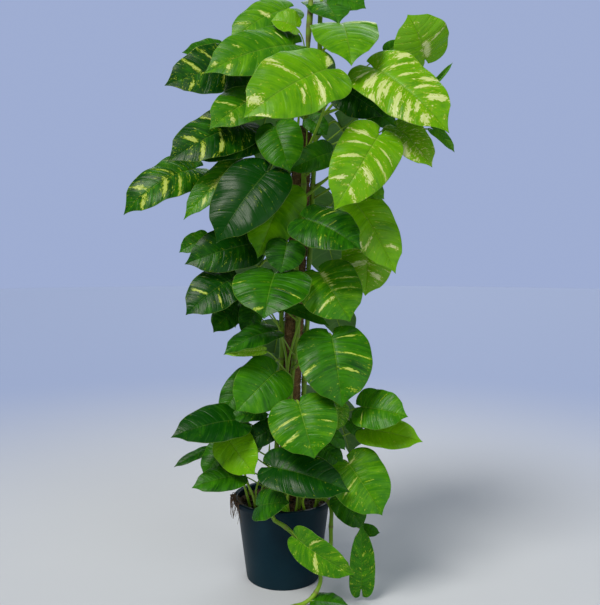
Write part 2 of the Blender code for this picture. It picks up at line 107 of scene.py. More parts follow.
class Finish:
    """A short way to wire nodes inside a material's or a group's tree."""

    def __init__(self, tree):
        self.tree = tree

    def plug(self, socket, value):
        if isinstance(value, bpy.types.NodeSocket):
            self.tree.links.new(value, socket)
        elif value is not None:
            socket.default_value = value

    def math(self, operation, first, second=0.5, third=0.5, clamp=False):
        node = self.tree.nodes.new("ShaderNodeMath")
        node.operation = operation
        node.use_clamp = clamp
        for socket, value in zip(node.inputs, (first, second, third)):
            self.plug(socket, value)
        return node.outputs[0]

    def plus(self, total, value, share):
        """The total with a share of a value added."""
        return self.math("ADD", total, self.math("MULTIPLY", value, share))

    def mix(self, share, first, second):
        node = self.tree.nodes.new("ShaderNodeMix")
        node.data_type = "RGBA"
        self.plug(node.inputs["Factor"], share)
        colours = [socket for socket in node.inputs if socket.type == "RGBA"]
        self.plug(colours[0], first)
        self.plug(colours[1], second)
        return next(socket for socket in node.outputs if socket.type == "RGBA")

    def noise(self, vector, scale, detail=2.0, roughness=0.5, distortion=0.0):
        node = self.tree.nodes.new("ShaderNodeTexNoise")
        self.plug(node.inputs["Vector"], vector)
        for label, value in (
            ("Scale", scale), ("Detail", detail), ("Roughness", roughness), ("Distortion", distortion)
        ):
            self.plug(node.inputs[label], value)
        return node.outputs["Fac"]

    def spread(self, value, low, high, to_low=0.0, to_high=1.0):
        """Map low..high smoothly onto to_low..to_high."""
        node = self.tree.nodes.new("ShaderNodeMapRange")
        node.interpolation_type = "SMOOTHSTEP"
        for label, number in (
            ("Value", value), ("From Min", low), ("From Max", high), ("To Min", to_low), ("To Max", to_high)
        ):
            self.plug(node.inputs[label], number)
        return node.outputs["Result"]

    def stretched(self, vector, scale):
        node = self.tree.nodes.new("ShaderNodeVectorMath")
        node.operation = "MULTIPLY"
        self.plug(node.inputs[0], vector)
        self.plug(node.inputs[1], scale)
        return node.outputs[0]

    def place(self):
        return self.tree.nodes.new("ShaderNodeTexCoord").outputs["Object"]

    def attribute(self, name):
        node = self.tree.nodes.new("ShaderNodeAttribute")
        node.attribute_name = name
        separate = self.tree.nodes.new("ShaderNodeSeparateXYZ")
        self.plug(separate.inputs[0], node.outputs["Vector"])
        return separate.outputs[0], separate.outputs[1], separate.outputs[2]

    def vector(self, x, y, z):
        node = self.tree.nodes.new("ShaderNodeCombineXYZ")
        for socket, value in zip(node.inputs, (x, y, z)):
            self.plug(socket, value)
        return node.outputs[0]

    def bump(self, height, distance, strength=1.0):
        node = self.tree.nodes.new("ShaderNodeBump")
        node.inputs["Strength"].default_value = strength
        node.inputs["Distance"].default_value = distance
        self.plug(node.inputs["Height"], height)
        return node.outputs["Normal"]

    def group(self, tree, **values):
        node = self.tree.nodes.new("ShaderNodeGroup")
        node.node_tree = tree
        for label, value in values.items():
            self.plug(node.inputs[label.replace("_", " ")], value)
        return node.outputs


def new_material(name, roughness, specular):
    """A material with a Principled shader, and its wiring helper."""
    material = bpy.data.materials.new(name)
    material.use_nodes = True
    shader = material.node_tree.nodes["Principled BSDF"]
    shader.inputs["Roughness"].default_value = roughness
    shader.inputs["Specular IOR Level"].default_value = specular
    return material, shader, Finish(material.node_tree)


def mottle_group():
    """Slow and fine unevenness of a natural or moulded surface, both about 0 to 1."""
    tree, given, result = new_group(
        "mottle",
        [("Place", "NodeSocketVector", None), ("Slow Scale", "NodeSocketFloat", 20.0),
         ("Fine Scale", "NodeSocketFloat", 400.0)],
        [("Slow", "NodeSocketFloat"), ("Fine", "NodeSocketFloat")],
    )
    wire = Finish(tree)
    slow = wire.noise(given.outputs["Place"], given.outputs["Slow Scale"], 4.0, 0.6)
    fine = wire.noise(given.outputs["Place"], given.outputs["Fine Scale"], 3.0, 0.6)
    wire.plug(result.inputs["Slow"], slow)
    wire.plug(result.inputs["Fine"], fine)
    return tree


mottle = mottle_group()


def pot_material():
    material, shader, wire = new_material("pot_plastic_finish", 0.45, 0.12)
    place = wire.place()
    uneven = wire.group(mottle, Place=place, Slow_Scale=16.0, Fine_Scale=900.0)
    height = wire.tree.nodes.new("ShaderNodeSeparateXYZ")
    wire.plug(height.inputs[0], place)
    low_dust = wire.spread(height.outputs[2], 0.0, 0.05, 0.55, 0.0)
    dust = wire.math("MULTIPLY", wire.spread(uneven["Slow"], 0.42, 0.75), 0.45)
    dust = wire.math("ADD", dust, low_dust, clamp=True)
    dust = wire.math("MULTIPLY", dust, wire.spread(uneven["Fine"], 0.25, 0.7))
    colour = wire.mix(uneven["Slow"], (0.0008, 0.013, 0.022, 1), (0.0018, 0.026, 0.042, 1))
    streaks = wire.noise(wire.stretched(place, (90.0, 90.0, 7.0)), 1.0, 3.0, 0.6)
    drip = wire.math("MULTIPLY", wire.spread(streaks, 0.60, 0.74), 0.25)
    colour = wire.mix(drip, colour, (0.012, 0.024, 0.030, 1))
    colour = wire.mix(wire.math("MULTIPLY", dust, 0.35), colour, (0.020, 0.038, 0.046, 1))
    wire.plug(shader.inputs["Base Color"], colour)
    wire.plug(shader.inputs["Roughness"], wire.spread(dust, 0.0, 0.8, 0.42, 0.68))
    grain = wire.plus(wire.math("MULTIPLY", uneven["Fine"], 0.35), uneven["Slow"], 0.65)
    wire.plug(shader.inputs["Normal"], wire.bump(grain, 0.0006, 0.5))
    return material


def build_pot():
    lip_foot = POT_HEIGHT - LIP_HEIGHT
    lip = RIM_RADIUS
    hollow_top = POT_HEIGHT - POT_WALL - 0.0008
    profile = [
        (0.0, POT_FLOOR), (wall_radius(POT_FLOOR) - 0.003, POT_FLOOR),
        (wall_radius(POT_FLOOR) - 0.0008, POT_FLOOR + 0.0008), (wall_radius(0.006), 0.006),
        (wall_radius(lip_foot), lip_foot),
    ]
    for turn in QUARTER_TURNS:
        radius = BODY_TOP_RADIUS - POT_WALL + LIP_HOLLOW_TOP * (1 - cos(turn))
        profile.append((radius, lip_foot + (LIP_HEIGHT - 0.0004) * sin(turn) ** 0.8))
    profile.append((lip - 0.0030, POT_HEIGHT))
    for turn in QUARTER_TURNS:
        profile.append((lip - LIP_ROUND + LIP_ROUND * sin(turn), POT_HEIGHT - LIP_ROUND * (1 - cos(turn))))
    profile += [
        (lip - 0.0001, lip_foot + 0.0008), (lip - 0.0005, lip_foot), (lip - POT_WALL, lip_foot),
        (lip - POT_WALL, hollow_top), (BODY_TOP_RADIUS + 0.0014, hollow_top),
        (BODY_TOP_RADIUS + 0.0002, lip_foot), (BODY_TOP_RADIUS - 0.0016, lip_foot - 0.0150),
        (BASE_RADIUS + 0.0009, 0.0070), (BASE_RADIUS + 0.0002, FOOT_ROUND),
    ]
    for turn in QUARTER_TURNS:
        profile.append((BASE_RADIUS - 0.0020 + 0.0022 * cos(turn), FOOT_ROUND - FOOT_ROUND * sin(turn)))
    profile.append((0.0, 0.0))
    shape = turn_profile(profile, 128)
    bmesh.ops.recalc_face_normals(shape, faces=shape.faces)
    pot = new_object("pot_shell", shape)
    pot.data.shade_smooth()
    pot.data.set_sharp_from_angle(angle=radians(40))
    pot.data.materials.append(pot_material())
    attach(pot, "root")
    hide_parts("pot")


build_pot()

# ---------------------------------------------------------------------------------------------
# Soil: damp dark peat mix, heaped to just under the rim and pressed by hand, with crumbs of bark
# and peat lying loose on it and a few fine feeder roots that have come to the surface.

SOIL_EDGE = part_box("soil")[1][2] - 0.007
SOIL_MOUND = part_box("soil")[1][2]
SOIL_GAP = 0.0006
SOIL_RINGS = 52
CRUMBS = 620
SURFACE_ROOTS = 34
ROOT_STEP = 0.0042
RIM_ROOTS = 30
RIM_CREST = 0.45


def soil_height(x, y):
    """The heaped surface's height, without its crumbs."""
    out = min((x * x + y * y) ** 0.5 / wall_radius(SOIL_EDGE), 1.0)
    lumps = noise.fractal(Vector((x, y, 0.3)) * 95.0, 0.9, 2.2, 5)
    return SOIL_MOUND - (SOIL_MOUND - SOIL_EDGE) * out**2.2 + 0.0022 * lumps


def soil_material():
    material, shader, wire = new_material("peat_finish", 0.92, 0.25)
    place = wire.place()
    uneven = wire.group(mottle, Place=place, Slow_Scale=60.0, Fine_Scale=700.0)
    damp = wire.spread(uneven["Slow"], 0.35, 0.7)
    colour = wire.mix(damp, (0.014, 0.008, 0.004, 1), (0.055, 0.032, 0.014, 1))
    bark = wire.spread(uneven["Fine"], 0.62, 0.72)
    colour = wire.mix(wire.math("MULTIPLY", bark, 0.55), colour, (0.200, 0.125, 0.055, 1))
    wire.plug(shader.inputs["Base Color"], colour)
    wire.plug(shader.inputs["Roughness"], wire.spread(uneven["Slow"], 0.3, 0.7, 0.72, 0.96))
    wire.plug(shader.inputs["Normal"], wire.bump(uneven["Fine"], 0.0012, 0.8))
    return material


def build_soil(material):
    rim = wall_radius(SOIL_EDGE) - SOIL_GAP
    profile = [(rim * ring / SOIL_RINGS, SOIL_MOUND) for ring in range(SOIL_RINGS + 1)]
    profile += [(wall_radius(height) - SOIL_GAP, height) for height in (0.10, 0.006)] + [(0.0, 0.0032)]
    shape = turn_profile(profile, 132)
    for vert in shape.verts:
        if vert.co.z > 0.12:
            vert.co.z = soil_height(vert.co.x, vert.co.y)
    bmesh.ops.recalc_face_normals(shape, faces=shape.faces)
    soil = new_object("soil_plug", shape)
    soil.data.shade_smooth()
    soil.data.materials.append(material)
    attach(soil, "root")
    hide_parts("soil")


def build_crumbs(material):
    """Loose crumbs, each a lumpy stone of a few facets, half sunk in the surface."""
    shape = bmesh.new()
    pick = random.Random(11)
    for _ in range(CRUMBS):
        turn = pick.uniform(0, 2 * pi)
        out = (wall_radius(SOIL_EDGE) - 0.004) * pick.random() ** 0.5
        size = 0.0007 + 0.0026 * pick.random() ** 2.5
        x, y = out * cos(turn), out * sin(turn)
        squash = Matrix.Diagonal((pick.uniform(0.7, 1.5), pick.uniform(0.7, 1.2), pick.uniform(0.5, 0.9), 1))
        place = Matrix.Translation((x, y, soil_height(x, y) + size * 0.25))
        tumble = Matrix.Rotation(pick.uniform(0, pi), 4, "Z")
        tumble = tumble @ Matrix.Rotation(pick.uniform(-0.5, 0.5), 4, "X")
        crumb = bmesh.ops.create_icosphere(
            shape, subdivisions=1, radius=size, matrix=place @ tumble @ squash
        )["verts"]
        for vert in crumb:
            vert.co += noise.noise_vector(vert.co * 700.0) * size * 0.35
    crumbs = new_object("soil_crumbs", shape)
    crumbs.data.materials.append(material)
    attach(crumbs, "root")


def strand(name, paths, radius, material, taper=True, facets=0):
    """Thin fibres, each a POLY spline of one curve object, thinning to their ends."""
    curve = bpy.data.curves.new(name, "CURVE")
    curve.dimensions = "3D"
    curve.bevel_depth = radius
    curve.bevel_resolution = facets
    curve.use_fill_caps = True
    for path in paths:
        spline = curve.splines.new("POLY")
        spline.points.add(len(path) - 1)
        for number, (place, point) in enumerate(zip(spline.points, path)):
            place.co = (*point, 1.0)
            place.radius = 1.0 - 0.75 * number / (len(path) - 1) if taper else 1.0
    guide = bpy.data.objects.new(name + "_guide", curve)
    bpy.context.scene.collection.objects.link(guide)
    mesh = bpy.data.meshes.new_from_object(guide.evaluated_get(bpy.context.evaluated_depsgraph_get()))
    bpy.data.objects.remove(guide)
    shape = bmesh.new()
    shape.from_mesh(mesh)
    bmesh.ops.remove_doubles(shape, verts=shape.verts, dist=0.000001)
    shape.to_mesh(mesh)
    shape.free()
    mesh.materials.clear()
    mesh.materials.append(material)
    mesh.shade_smooth()
    item = bpy.data.objects.new(name, mesh)
    bpy.context.scene.collection.objects.link(item)
    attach(item, "root")


def root_material():
    material, shader, wire = new_material("root_finish", 0.7, 0.35)
    uneven = wire.group(mottle, Place=wire.place(), Slow_Scale=90.0, Fine_Scale=900.0)
    colour = wire.mix(uneven["Slow"], (0.060, 0.030, 0.014, 1), (0.190, 0.115, 0.058, 1))
    wire.plug(shader.inputs["Base Color"], colour)
    wire.plug(shader.inputs["Roughness"], wire.spread(uneven["Fine"], 0.3, 0.7, 0.6, 0.85))
    return material


def build_surface_roots(material):
    pick = random.Random(5)
    paths = []
    for _ in range(SURFACE_ROOTS):
        turn = pick.uniform(0, 2 * pi)
        out = pick.uniform(0.030, 0.070)
        heading = turn + pick.uniform(-1.2, 1.2)
        x, y = out * cos(turn), out * sin(turn)
        path = []
        for _ in range(12):
            path.append(Vector((x, y, soil_height(x, y) + 0.0006)))
            heading += pick.uniform(-0.55, 0.55)
            x += ROOT_STEP * cos(heading)
            y += ROOT_STEP * sin(heading)
            if (x * x + y * y) ** 0.5 > wall_radius(SOIL_EDGE) - 0.004:
                break
        if len(path) > 3:
            paths.append(path)
    strand("surface_roots", paths, 0.00055, material)


def build_rim_roots(material):
    """Root ends that have grown over the rim at the left and dried in the air."""
    pick = random.Random(21)
    paths = []
    for number in range(RIM_ROOTS):
        turn = radians(pick.uniform(176, 212))
        length = pick.uniform(0.010, 0.042)
        swing = pick.uniform(-0.12, 0.12)
        path = []
        for step in range(13):
            share = step / 12
            if share < RIM_CREST:
                out = 0.078 + 0.020 * share / RIM_CREST
                height = SOIL_EDGE + 0.003 + (POT_HEIGHT + 0.0022 - SOIL_EDGE - 0.003) * min(1, share / 0.34)
            else:
                out = 0.098 + 0.0022 * sin(share * 5 + number)
                height = POT_HEIGHT + 0.002 - length * ((share - RIM_CREST) / (1 - RIM_CREST)) ** 1.2
            bend = turn + swing * share + 0.03 * sin(9 * share + number)
            path.append(Vector((out * cos(bend), out * sin(bend), height)))
        paths.append(path)
    strand("rim_roots", paths, 0.0011, material)


peat_finish = soil_material()
root_finish = root_material()
build_soil(peat_finish)
build_crumbs(peat_finish)
build_surface_roots(root_finish)
build_rim_roots(root_finish)

# ---------------------------------------------------------------------------------------------
# Moss pole: a turned timber stake wrapped in a sleeve of coconut fibre, which is needled into a
# mat, wound on and tied down with a spiral of coir string. It is pushed down to the pot's floor.

POLE_FOOT = Vector((0.0, 0.0, 0.020))
POLE_TOP = Vector((0.037, 0.004, 0.835))
POLE_LENGTH = (POLE_TOP - POLE_FOOT).length
POLE_LEAN = (POLE_TOP - POLE_FOOT).to_track_quat("Z", "Y").to_matrix().to_4x4()
SLEEVE_RADIUS = 0.018
SLEEVE_BORE = 0.0104
SLEEVE_ROWS = 300
STAKE_RADIUS = 0.0101
STAKE_PROUD = 0.012
FIBRES = 1400
STRING_PITCH = 0.034
STRING_STEPS = 18


def pole_axis(height):
    """The point on the leaning pole's axis, or on its line carried on above it, at a height."""
    return POLE_FOOT.lerp(POLE_TOP, (height - POLE_FOOT.z) / (POLE_TOP.z - POLE_FOOT.z))


def level_direction(azimuth):
    """The level unit vector at an azimuth in degrees, 0 towards the show side and 90 towards +X."""
    return Vector((sin(radians(azimuth)), -cos(radians(azimuth)), 0.0))


def coir_material(name, dark, light):
    material, shader, wire = new_material(name, 0.9, 0.2)
    place = wire.place()
    uneven = wire.group(mottle, Place=place, Slow_Scale=45.0, Fine_Scale=800.0)
    lines = wire.noise(wire.stretched(place, (500.0, 500.0, 90.0)), 1.0, 3.0, 0.7)
    share = wire.plus(wire.math("MULTIPLY", uneven["Slow"], 0.5), lines, 0.6)
    wire.plug(shader.inputs["Base Color"], wire.mix(wire.spread(share, 0.35, 0.75), dark, light))
    wire.plug(shader.inputs["Roughness"], wire.spread(uneven["Fine"], 0.3, 0.7, 0.8, 0.96))
    wire.plug(shader.inputs["Normal"], wire.bump(lines, 0.0012, 0.9))
    return material


def stake_material():
    material, shader, wire = new_material("stake_wood_finish", 0.6, 0.35)
    place = wire.place()
    grain = wire.noise(wire.stretched(place, (260.0, 260.0, 14.0)), 1.0, 4.0, 0.65, 0.6)
    uneven = wire.group(mottle, Place=place, Slow_Scale=30.0, Fine_Scale=700.0)
    colour = wire.mix(wire.spread(grain, 0.35, 0.7), (0.33, 0.205, 0.105, 1), (0.16, 0.088, 0.042, 1))
    wire.plug(shader.inputs["Base Color"], colour)
    wire.plug(shader.inputs["Roughness"], wire.spread(uneven["Fine"], 0.3, 0.7, 0.5, 0.7))
    wire.plug(shader.inputs["Normal"], wire.bump(grain, 0.0005, 0.6))
    return material


def build_sleeve(material):
    """The wrapped mat: a long lumpy tube, bored for the stake, its surface pulled in by the string."""
    profile = [(SLEEVE_BORE, 0.0)]
    profile += [(SLEEVE_RADIUS, POLE_LENGTH * row / SLEEVE_ROWS) for row in range(SLEEVE_ROWS + 1)]
    profile += [(SLEEVE_BORE, POLE_LENGTH)]
    shape = turn_profile(profile, 44, closed=True)
    for vert in shape.verts:
        out = Vector((vert.co.x, vert.co.y, 0))
        if out.length > 0.015:
            angle = atan2(vert.co.y, vert.co.x)
            wound = (vert.co.z / STRING_PITCH - angle / (2 * pi)) % 1.0
            pinch = 0.0011 * exp(-(((wound - 0.5) * STRING_PITCH / 0.0028) ** 2))
            lump = 0.0008 * noise.fractal(vert.co * 110.0, 0.9, 2.1, 4)
            vert.co += out.normalized() * (lump - pinch - 0.0006)
    bmesh.ops.recalc_face_normals(shape, faces=shape.faces)
    bmesh.ops.transform(shape, matrix=Matrix.Translation(POLE_FOOT) @ POLE_LEAN, verts=shape.verts)
    sleeve = new_object("coir_wrap", shape)
    sleeve.data.shade_smooth()
    sleeve.data.materials.append(material)
    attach(sleeve, "root")
    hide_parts("coir_sleeve")


def build_string(material):
    """The coir string's spiral turns round the sleeve."""
    turns = (POLE_LENGTH - 0.02) / STRING_PITCH
    out = SLEEVE_RADIUS * 0.972
    path = []
    for step in range(int(turns * STRING_STEPS) + 1):
        angle = 2 * pi * step / STRING_STEPS + pi
        height = STRING_PITCH * step / STRING_STEPS + 0.006
        point = Vector((out * cos(angle), out * sin(angle), height))
        path.append(POLE_FOOT + POLE_LEAN.to_3x3() @ point)
    strand("coir_string", [path], 0.0009, material, taper=False, facets=2)


def build_fibres(material):
    """Loose coconut fibres standing off the mat, each a short springy hair."""
    pick = random.Random(3)
    paths = []
    for _ in range(FIBRES):
        height = pick.uniform(0.150, POLE_TOP.z + 0.001)
        turn = pick.uniform(0, 360)
        length = pick.uniform(0.010, 0.034)
        climb = pick.choice((-1, 1)) * pick.uniform(0.15, 0.95)
        sweep = pick.choice((-1, 1)) * (1 - abs(climb)) * length / SLEEVE_RADIUS
        lift = pick.random() ** 3 * 0.0058
        path = []
        for step in range(7):
            share = step / 6
            sunk = 0.0012 if step == 0 else 0.0
            out = SLEEVE_RADIUS + 0.0001 + lift * sin(pi * (0.15 + 0.6 * share)) - sunk
            angle = turn + sweep * share * 57.3 + 4.0 * sin(share * 7 + turn)
            z = height + climb * length * share
            if z > POLE_TOP.z + 0.010:
                break
            path.append(pole_axis(z) + level_direction(angle) * out)
        if len(path) > 2:
            paths.append(path)
    strand("coir_fibres", paths, 0.00030, material)


def build_stake(material):
    length = POLE_LENGTH + STAKE_PROUD
    shape = bmesh.new()
    bmesh.ops.create_cone(
        shape, cap_ends=True, segments=40, radius1=STAKE_RADIUS, radius2=STAKE_RADIUS, depth=length
    )
    bmesh.ops.translate(shape, verts=shape.verts, vec=(0, 0, length / 2))
    rims = [edge for edge in shape.edges if abs(edge.verts[0].co.z - edge.verts[1].co.z) < 0.0001]
    bmesh.ops.bevel(shape, geom=rims, offset=0.0012, segments=3, profile=0.5, affect="EDGES", material=-1)
    bmesh.ops.transform(shape, matrix=Matrix.Translation(POLE_FOOT) @ POLE_LEAN, verts=shape.verts)
    stake = new_object("stake", shape)
    stake.data.shade_smooth()
    stake.data.set_sharp_from_angle(angle=radians(35))
    stake.data.materials.append(material)
    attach(stake, "root")
    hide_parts("pole_stake")


mat_coir = coir_material("coir_mat_finish", (0.040, 0.022, 0.008, 1), (0.300, 0.170, 0.060, 1))
loose_coir = coir_material("coir_fibre_finish", (0.170, 0.090, 0.030, 1), (0.520, 0.330, 0.130, 1))
build_sleeve(mat_coir)
build_string(loose_coir)
build_fibres(loose_coir)
build_stake(stake_material())

# ---------------------------------------------------------------------------------------------
# Vines: round green stems that climb the pole, held to it by short aerial roots, and two that
# trail over the rim. Each swells in a ring at every node, where a leaf has grown.

VINE_RADIUS = 0.0040
VINE_OFFSET = SLEEVE_RADIUS + VINE_RADIUS + 0.0010
VINE_FOOT = 0.130
CLIMBING_VINES = {
    "vine_front": (8, 0.800),
    "vine_left": (-72, 1.000),
    "vine_right": (84, 1.075),
    "vine_back": (176, 0.930),
}
TRAIL_FRONT = (
    (-18, -58, 128), (-21, -68, 155), (-22, -84, 163), (-19, -99, 160), (-13, -111, 149),
    (6, -115, 138), (27, -115, 118), (52, -115, 84), (68, -113, 48), (60, -119, 22),
    (42, -127, 8), (22, -138, 6), (4, -146, 6),
)
TRAIL_RIGHT = (
    (56, -38, 128), (64, -44, 158), (74, -52, 166), (84, -60, 162), (89, -64, 146),
    (88, -67, 120), (88, -72, 90), (86, -80, 62), (92, -88, 40),
)
NODE_SPACING = 0.046
VINE_STEP = 0.0032
CLIMBING_STOUTNESS = 1.25


def vine_point(vine, height):
    """A climbing vine's centre at a height: it wanders a little round the pole and stays clear of it."""
    azimuth = CLIMBING_VINES[vine][0] + 9.0 * sin(height * 26.0 + CLIMBING_VINES[vine][0])
    offset = VINE_OFFSET + 0.0010 * (1.0 + sin(height * 41.0))
    return pole_axis(height) + level_direction(azimuth) * offset


def smooth_path(points, step):
    """Points in metres about one step apart on the Catmull-Rom curve through points in metres."""
    ends = [points[0] * 2 - points[1], *points, points[-1] * 2 - points[-2]]
    path = []
    for index in range(1, len(ends) - 2):
        before, first, second, after = ends[index - 1 : index + 3]
        count = max(1, ceil((second - first).length / step))
        for share in (number / count for number in range(count)):
            path.append(
                0.5
                * (
                    2 * first
                    + (second - before) * share
                    + (2 * before - 5 * first + 4 * second - after) * share**2
                    + (3 * first - before - 3 * second + after) * share**3
                )
            )
    return [*path, points[-1]]


def in_metres(points):
    """Vectors in metres from points in millimetres."""
    return [Vector(point) / 1000 for point in points]


def grow_limb(shape, path, radii, sides=12, upward=None):
    """Extrude a ring along a path, with a radius at each point, and close both ends. Returns its rings."""
    start = bmesh.ops.create_circle(shape, cap_ends=False, segments=sides, radius=1.0)["verts"]
    loop = list({edge for vert in start for edge in vert.link_edges})
    angles = {vert: atan2(vert.co.y, vert.co.x) for vert in start}
    first_loop = loop
    rings = []
    for number, (centre, radius) in enumerate(zip(path, radii)):
        behind = path[max(number - 1, 0)]
        ahead = path[min(number + 1, len(path) - 1)]
        direction = (ahead - behind).normalized()
        if upward is None:
            upward = direction.orthogonal()
        upward = (upward - direction * upward.dot(direction)).normalized()
        sideways = upward.cross(direction)
        if number:
            grown = bmesh.ops.extrude_edge_only(shape, edges=loop)["geom"]
            ring = [part for part in grown if isinstance(part, bmesh.types.BMVert)]
            fresh = set(ring)
            angles = {
                vert: next(
                    angles[edge.other_vert(vert)]
                    for edge in vert.link_edges if edge.other_vert(vert) in angles
                )
                for vert in ring
            }
            loop = [
                part for part in grown
                if isinstance(part, bmesh.types.BMEdge) and part.verts[0] in fresh and part.verts[1] in fresh
            ]
        for vert, angle in angles.items():
            vert.co = centre + (sideways * cos(angle) + upward * sin(angle)) * radius
        rings.append(list(angles))
    bmesh.ops.contextual_create(shape, geom=first_loop)
    bmesh.ops.contextual_create(shape, geom=loop)
    return rings


def stem_tint_group():
    """The green of a stem: fine long fibres, paler on young wood, and brown where it is scarred."""
    tree, given, result = new_group(
        "stem_tint",
        [("Place", "NodeSocketVector", None), ("Scar", "NodeSocketFloat", 0.0),
         ("Young", "NodeSocketFloat", 0.5)],
        [("Colour", "NodeSocketColor"), ("Relief", "NodeSocketFloat")],
    )
    wire = Finish(tree)
    lines = wire.noise(wire.stretched(given.outputs["Place"], (900.0, 900.0, 60.0)), 1.0, 3.0, 0.6)
    patches = wire.noise(given.outputs["Place"], 55.0, 3.0, 0.6)
    green = wire.mix(given.outputs["Young"], (0.055, 0.170, 0.005, 1), (0.250, 0.460, 0.015, 1))
    green = wire.mix(wire.math("MULTIPLY", lines, 0.30), green, (0.340, 0.480, 0.060, 1))
    worn = wire.spread(patches, 0.58, 0.74, 0.0, 0.30)
    brown = wire.math("ADD", given.outputs["Scar"], worn, clamp=True)
    wire.plug(result.inputs["Colour"], wire.mix(brown, green, (0.170, 0.120, 0.050, 1)))
    wire.plug(result.inputs["Relief"], wire.plus(lines, patches, 0.8))
    return tree


stem_tint = stem_tint_group()


def stem_material(name, roughest, depth, strength):
    material, shader, wire = new_material(name, 0.42, 0.25)
    scar, young, _ = wire.attribute("stem")
    tint = wire.group(stem_tint, Place=wire.place(), Scar=scar, Young=young)
    wire.plug(shader.inputs["Base Color"], tint["Colour"])
    wire.plug(shader.inputs["Roughness"], wire.spread(tint["Relief"], 0.4, 1.4, 0.34, roughest))
    wire.plug(shader.inputs["Normal"], wire.bump(tint["Relief"], depth, strength))
    return material


def build_vine(name, path, material, node, young_from, young_to, stout=1.0):
    """A vine along a path, with a swollen ring at every node and a rounded growing tip."""
    shape = bmesh.new()
    run = [0.0]
    for first, second in zip(path, path[1:]):
        run.append(run[-1] + (second - first).length)
    radii = []
    scars = []
    for length in run:
        near = abs((length + 0.010) % NODE_SPACING - NODE_SPACING / 2)
        ring = exp(-((near / 0.0020) ** 2))
        swell = exp(-((near / 0.0065) ** 2))
        ends = min(1.0, 0.35 + (run[-1] - length) / 0.012) * min(1.0, 0.80 + length / 0.02)
        radii.append(VINE_RADIUS * stout * (0.90 + 0.16 * swell + 0.06 * ring) * ends)
        scars.append(0.75 * ring)
    layer = shape.verts.layers.float_vector.new("stem")
    rings = grow_limb(shape, path, radii)
    for number, ring in enumerate(rings):
        young = young_from + (young_to - young_from) * run[number] / run[-1]
        for vert in ring:
            vert[layer] = Vector((scars[number], young, 0.0))
    bmesh.ops.recalc_face_normals(shape, faces=shape.faces)
    vine = new_object(name, shape)
    vine.data.shade_smooth()
    vine.data.materials.append(material)
    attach(vine, "root")
    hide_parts(node)


def build_aerial_roots(material):
    """Short brown roots that grow from every node towards the pole and grip the coir."""
    pick = random.Random(8)
    paths = []
    for vine, (_, top) in CLIMBING_VINES.items():
        height = 0.19
        while height < min(top, POLE_TOP.z) - 0.02:
            centre = vine_point(vine, height)
            inward = (pole_axis(height) - centre).normalized()
            side = inward.cross(Vector((0, 0, 1)))
            for _ in range(pick.randint(2, 4)):
                swing = pick.choice((-1, 1)) * pick.uniform(0.5, 1.2)
                drop = pick.uniform(-0.012, 0.006)
                path = []
                for step in range(7):
                    share = step / 6
                    turn = swing * share
                    reach = SLEEVE_RADIUS + 0.0022 * (1 - share)
                    around = pole_axis(height + drop * share) - inward * cos(turn) * reach
                    around += side * sin(turn) * (SLEEVE_RADIUS + 0.0010)
                    path.append(centre.lerp(around, min(1.0, share * 2.4)))
                paths.append(path)
            height += NODE_SPACING * pick.uniform(0.45, 0.8)
    strand("aerial_roots", paths, 0.00085, material)


vine_finish = stem_material("vine_finish", 0.55, 0.0004, 0.6)
for vine, (_, top) in CLIMBING_VINES.items():
    rows = ceil((top - VINE_FOOT) / VINE_STEP)
    path = [vine_point(vine, VINE_FOOT + (top - VINE_FOOT) * row / rows) for row in range(rows + 1)]
    build_vine(vine + "_stem", path, vine_finish, vine, 0.45, 0.95, CLIMBING_STOUTNESS)
trails = {
    name: smooth_path(in_metres(points), 0.011)
    for name, points in (("trail_front", TRAIL_FRONT), ("trail_right", TRAIL_RIGHT))
}
for trail, path in trails.items():
    build_vine(trail + "_stem", smooth_path(path, VINE_STEP), vine_finish, trail, 0.35, 0.75)
build_aerial_roots(root_finish)

# ---------------------------------------------------------------------------------------------
# Leaves: heart-shaped, leathery and glossy, with a drip tip, on petioles that grow from the nodes.
# The blade is quilted between its side veins and splashed with cream along them. Each petiole
# clasps the stem with a sheath, and runs on as the midrib under the blade.

BLADE_THICKNESS = 0.0006
PETIOLE_RADIUS = 0.0020
PETIOLE_RINGS = 22
MIDRIB_RINGS = 15
SIDE_VEINS = 10
LOBE_END = 0.3
PLAIN_GRID = (52, 60)
FINE_GRID = (72, 84)
BACK_LEAVES = 12
BACK_LOWEST = 270
BACK_RISE = 66
BACK_SPREAD = 50
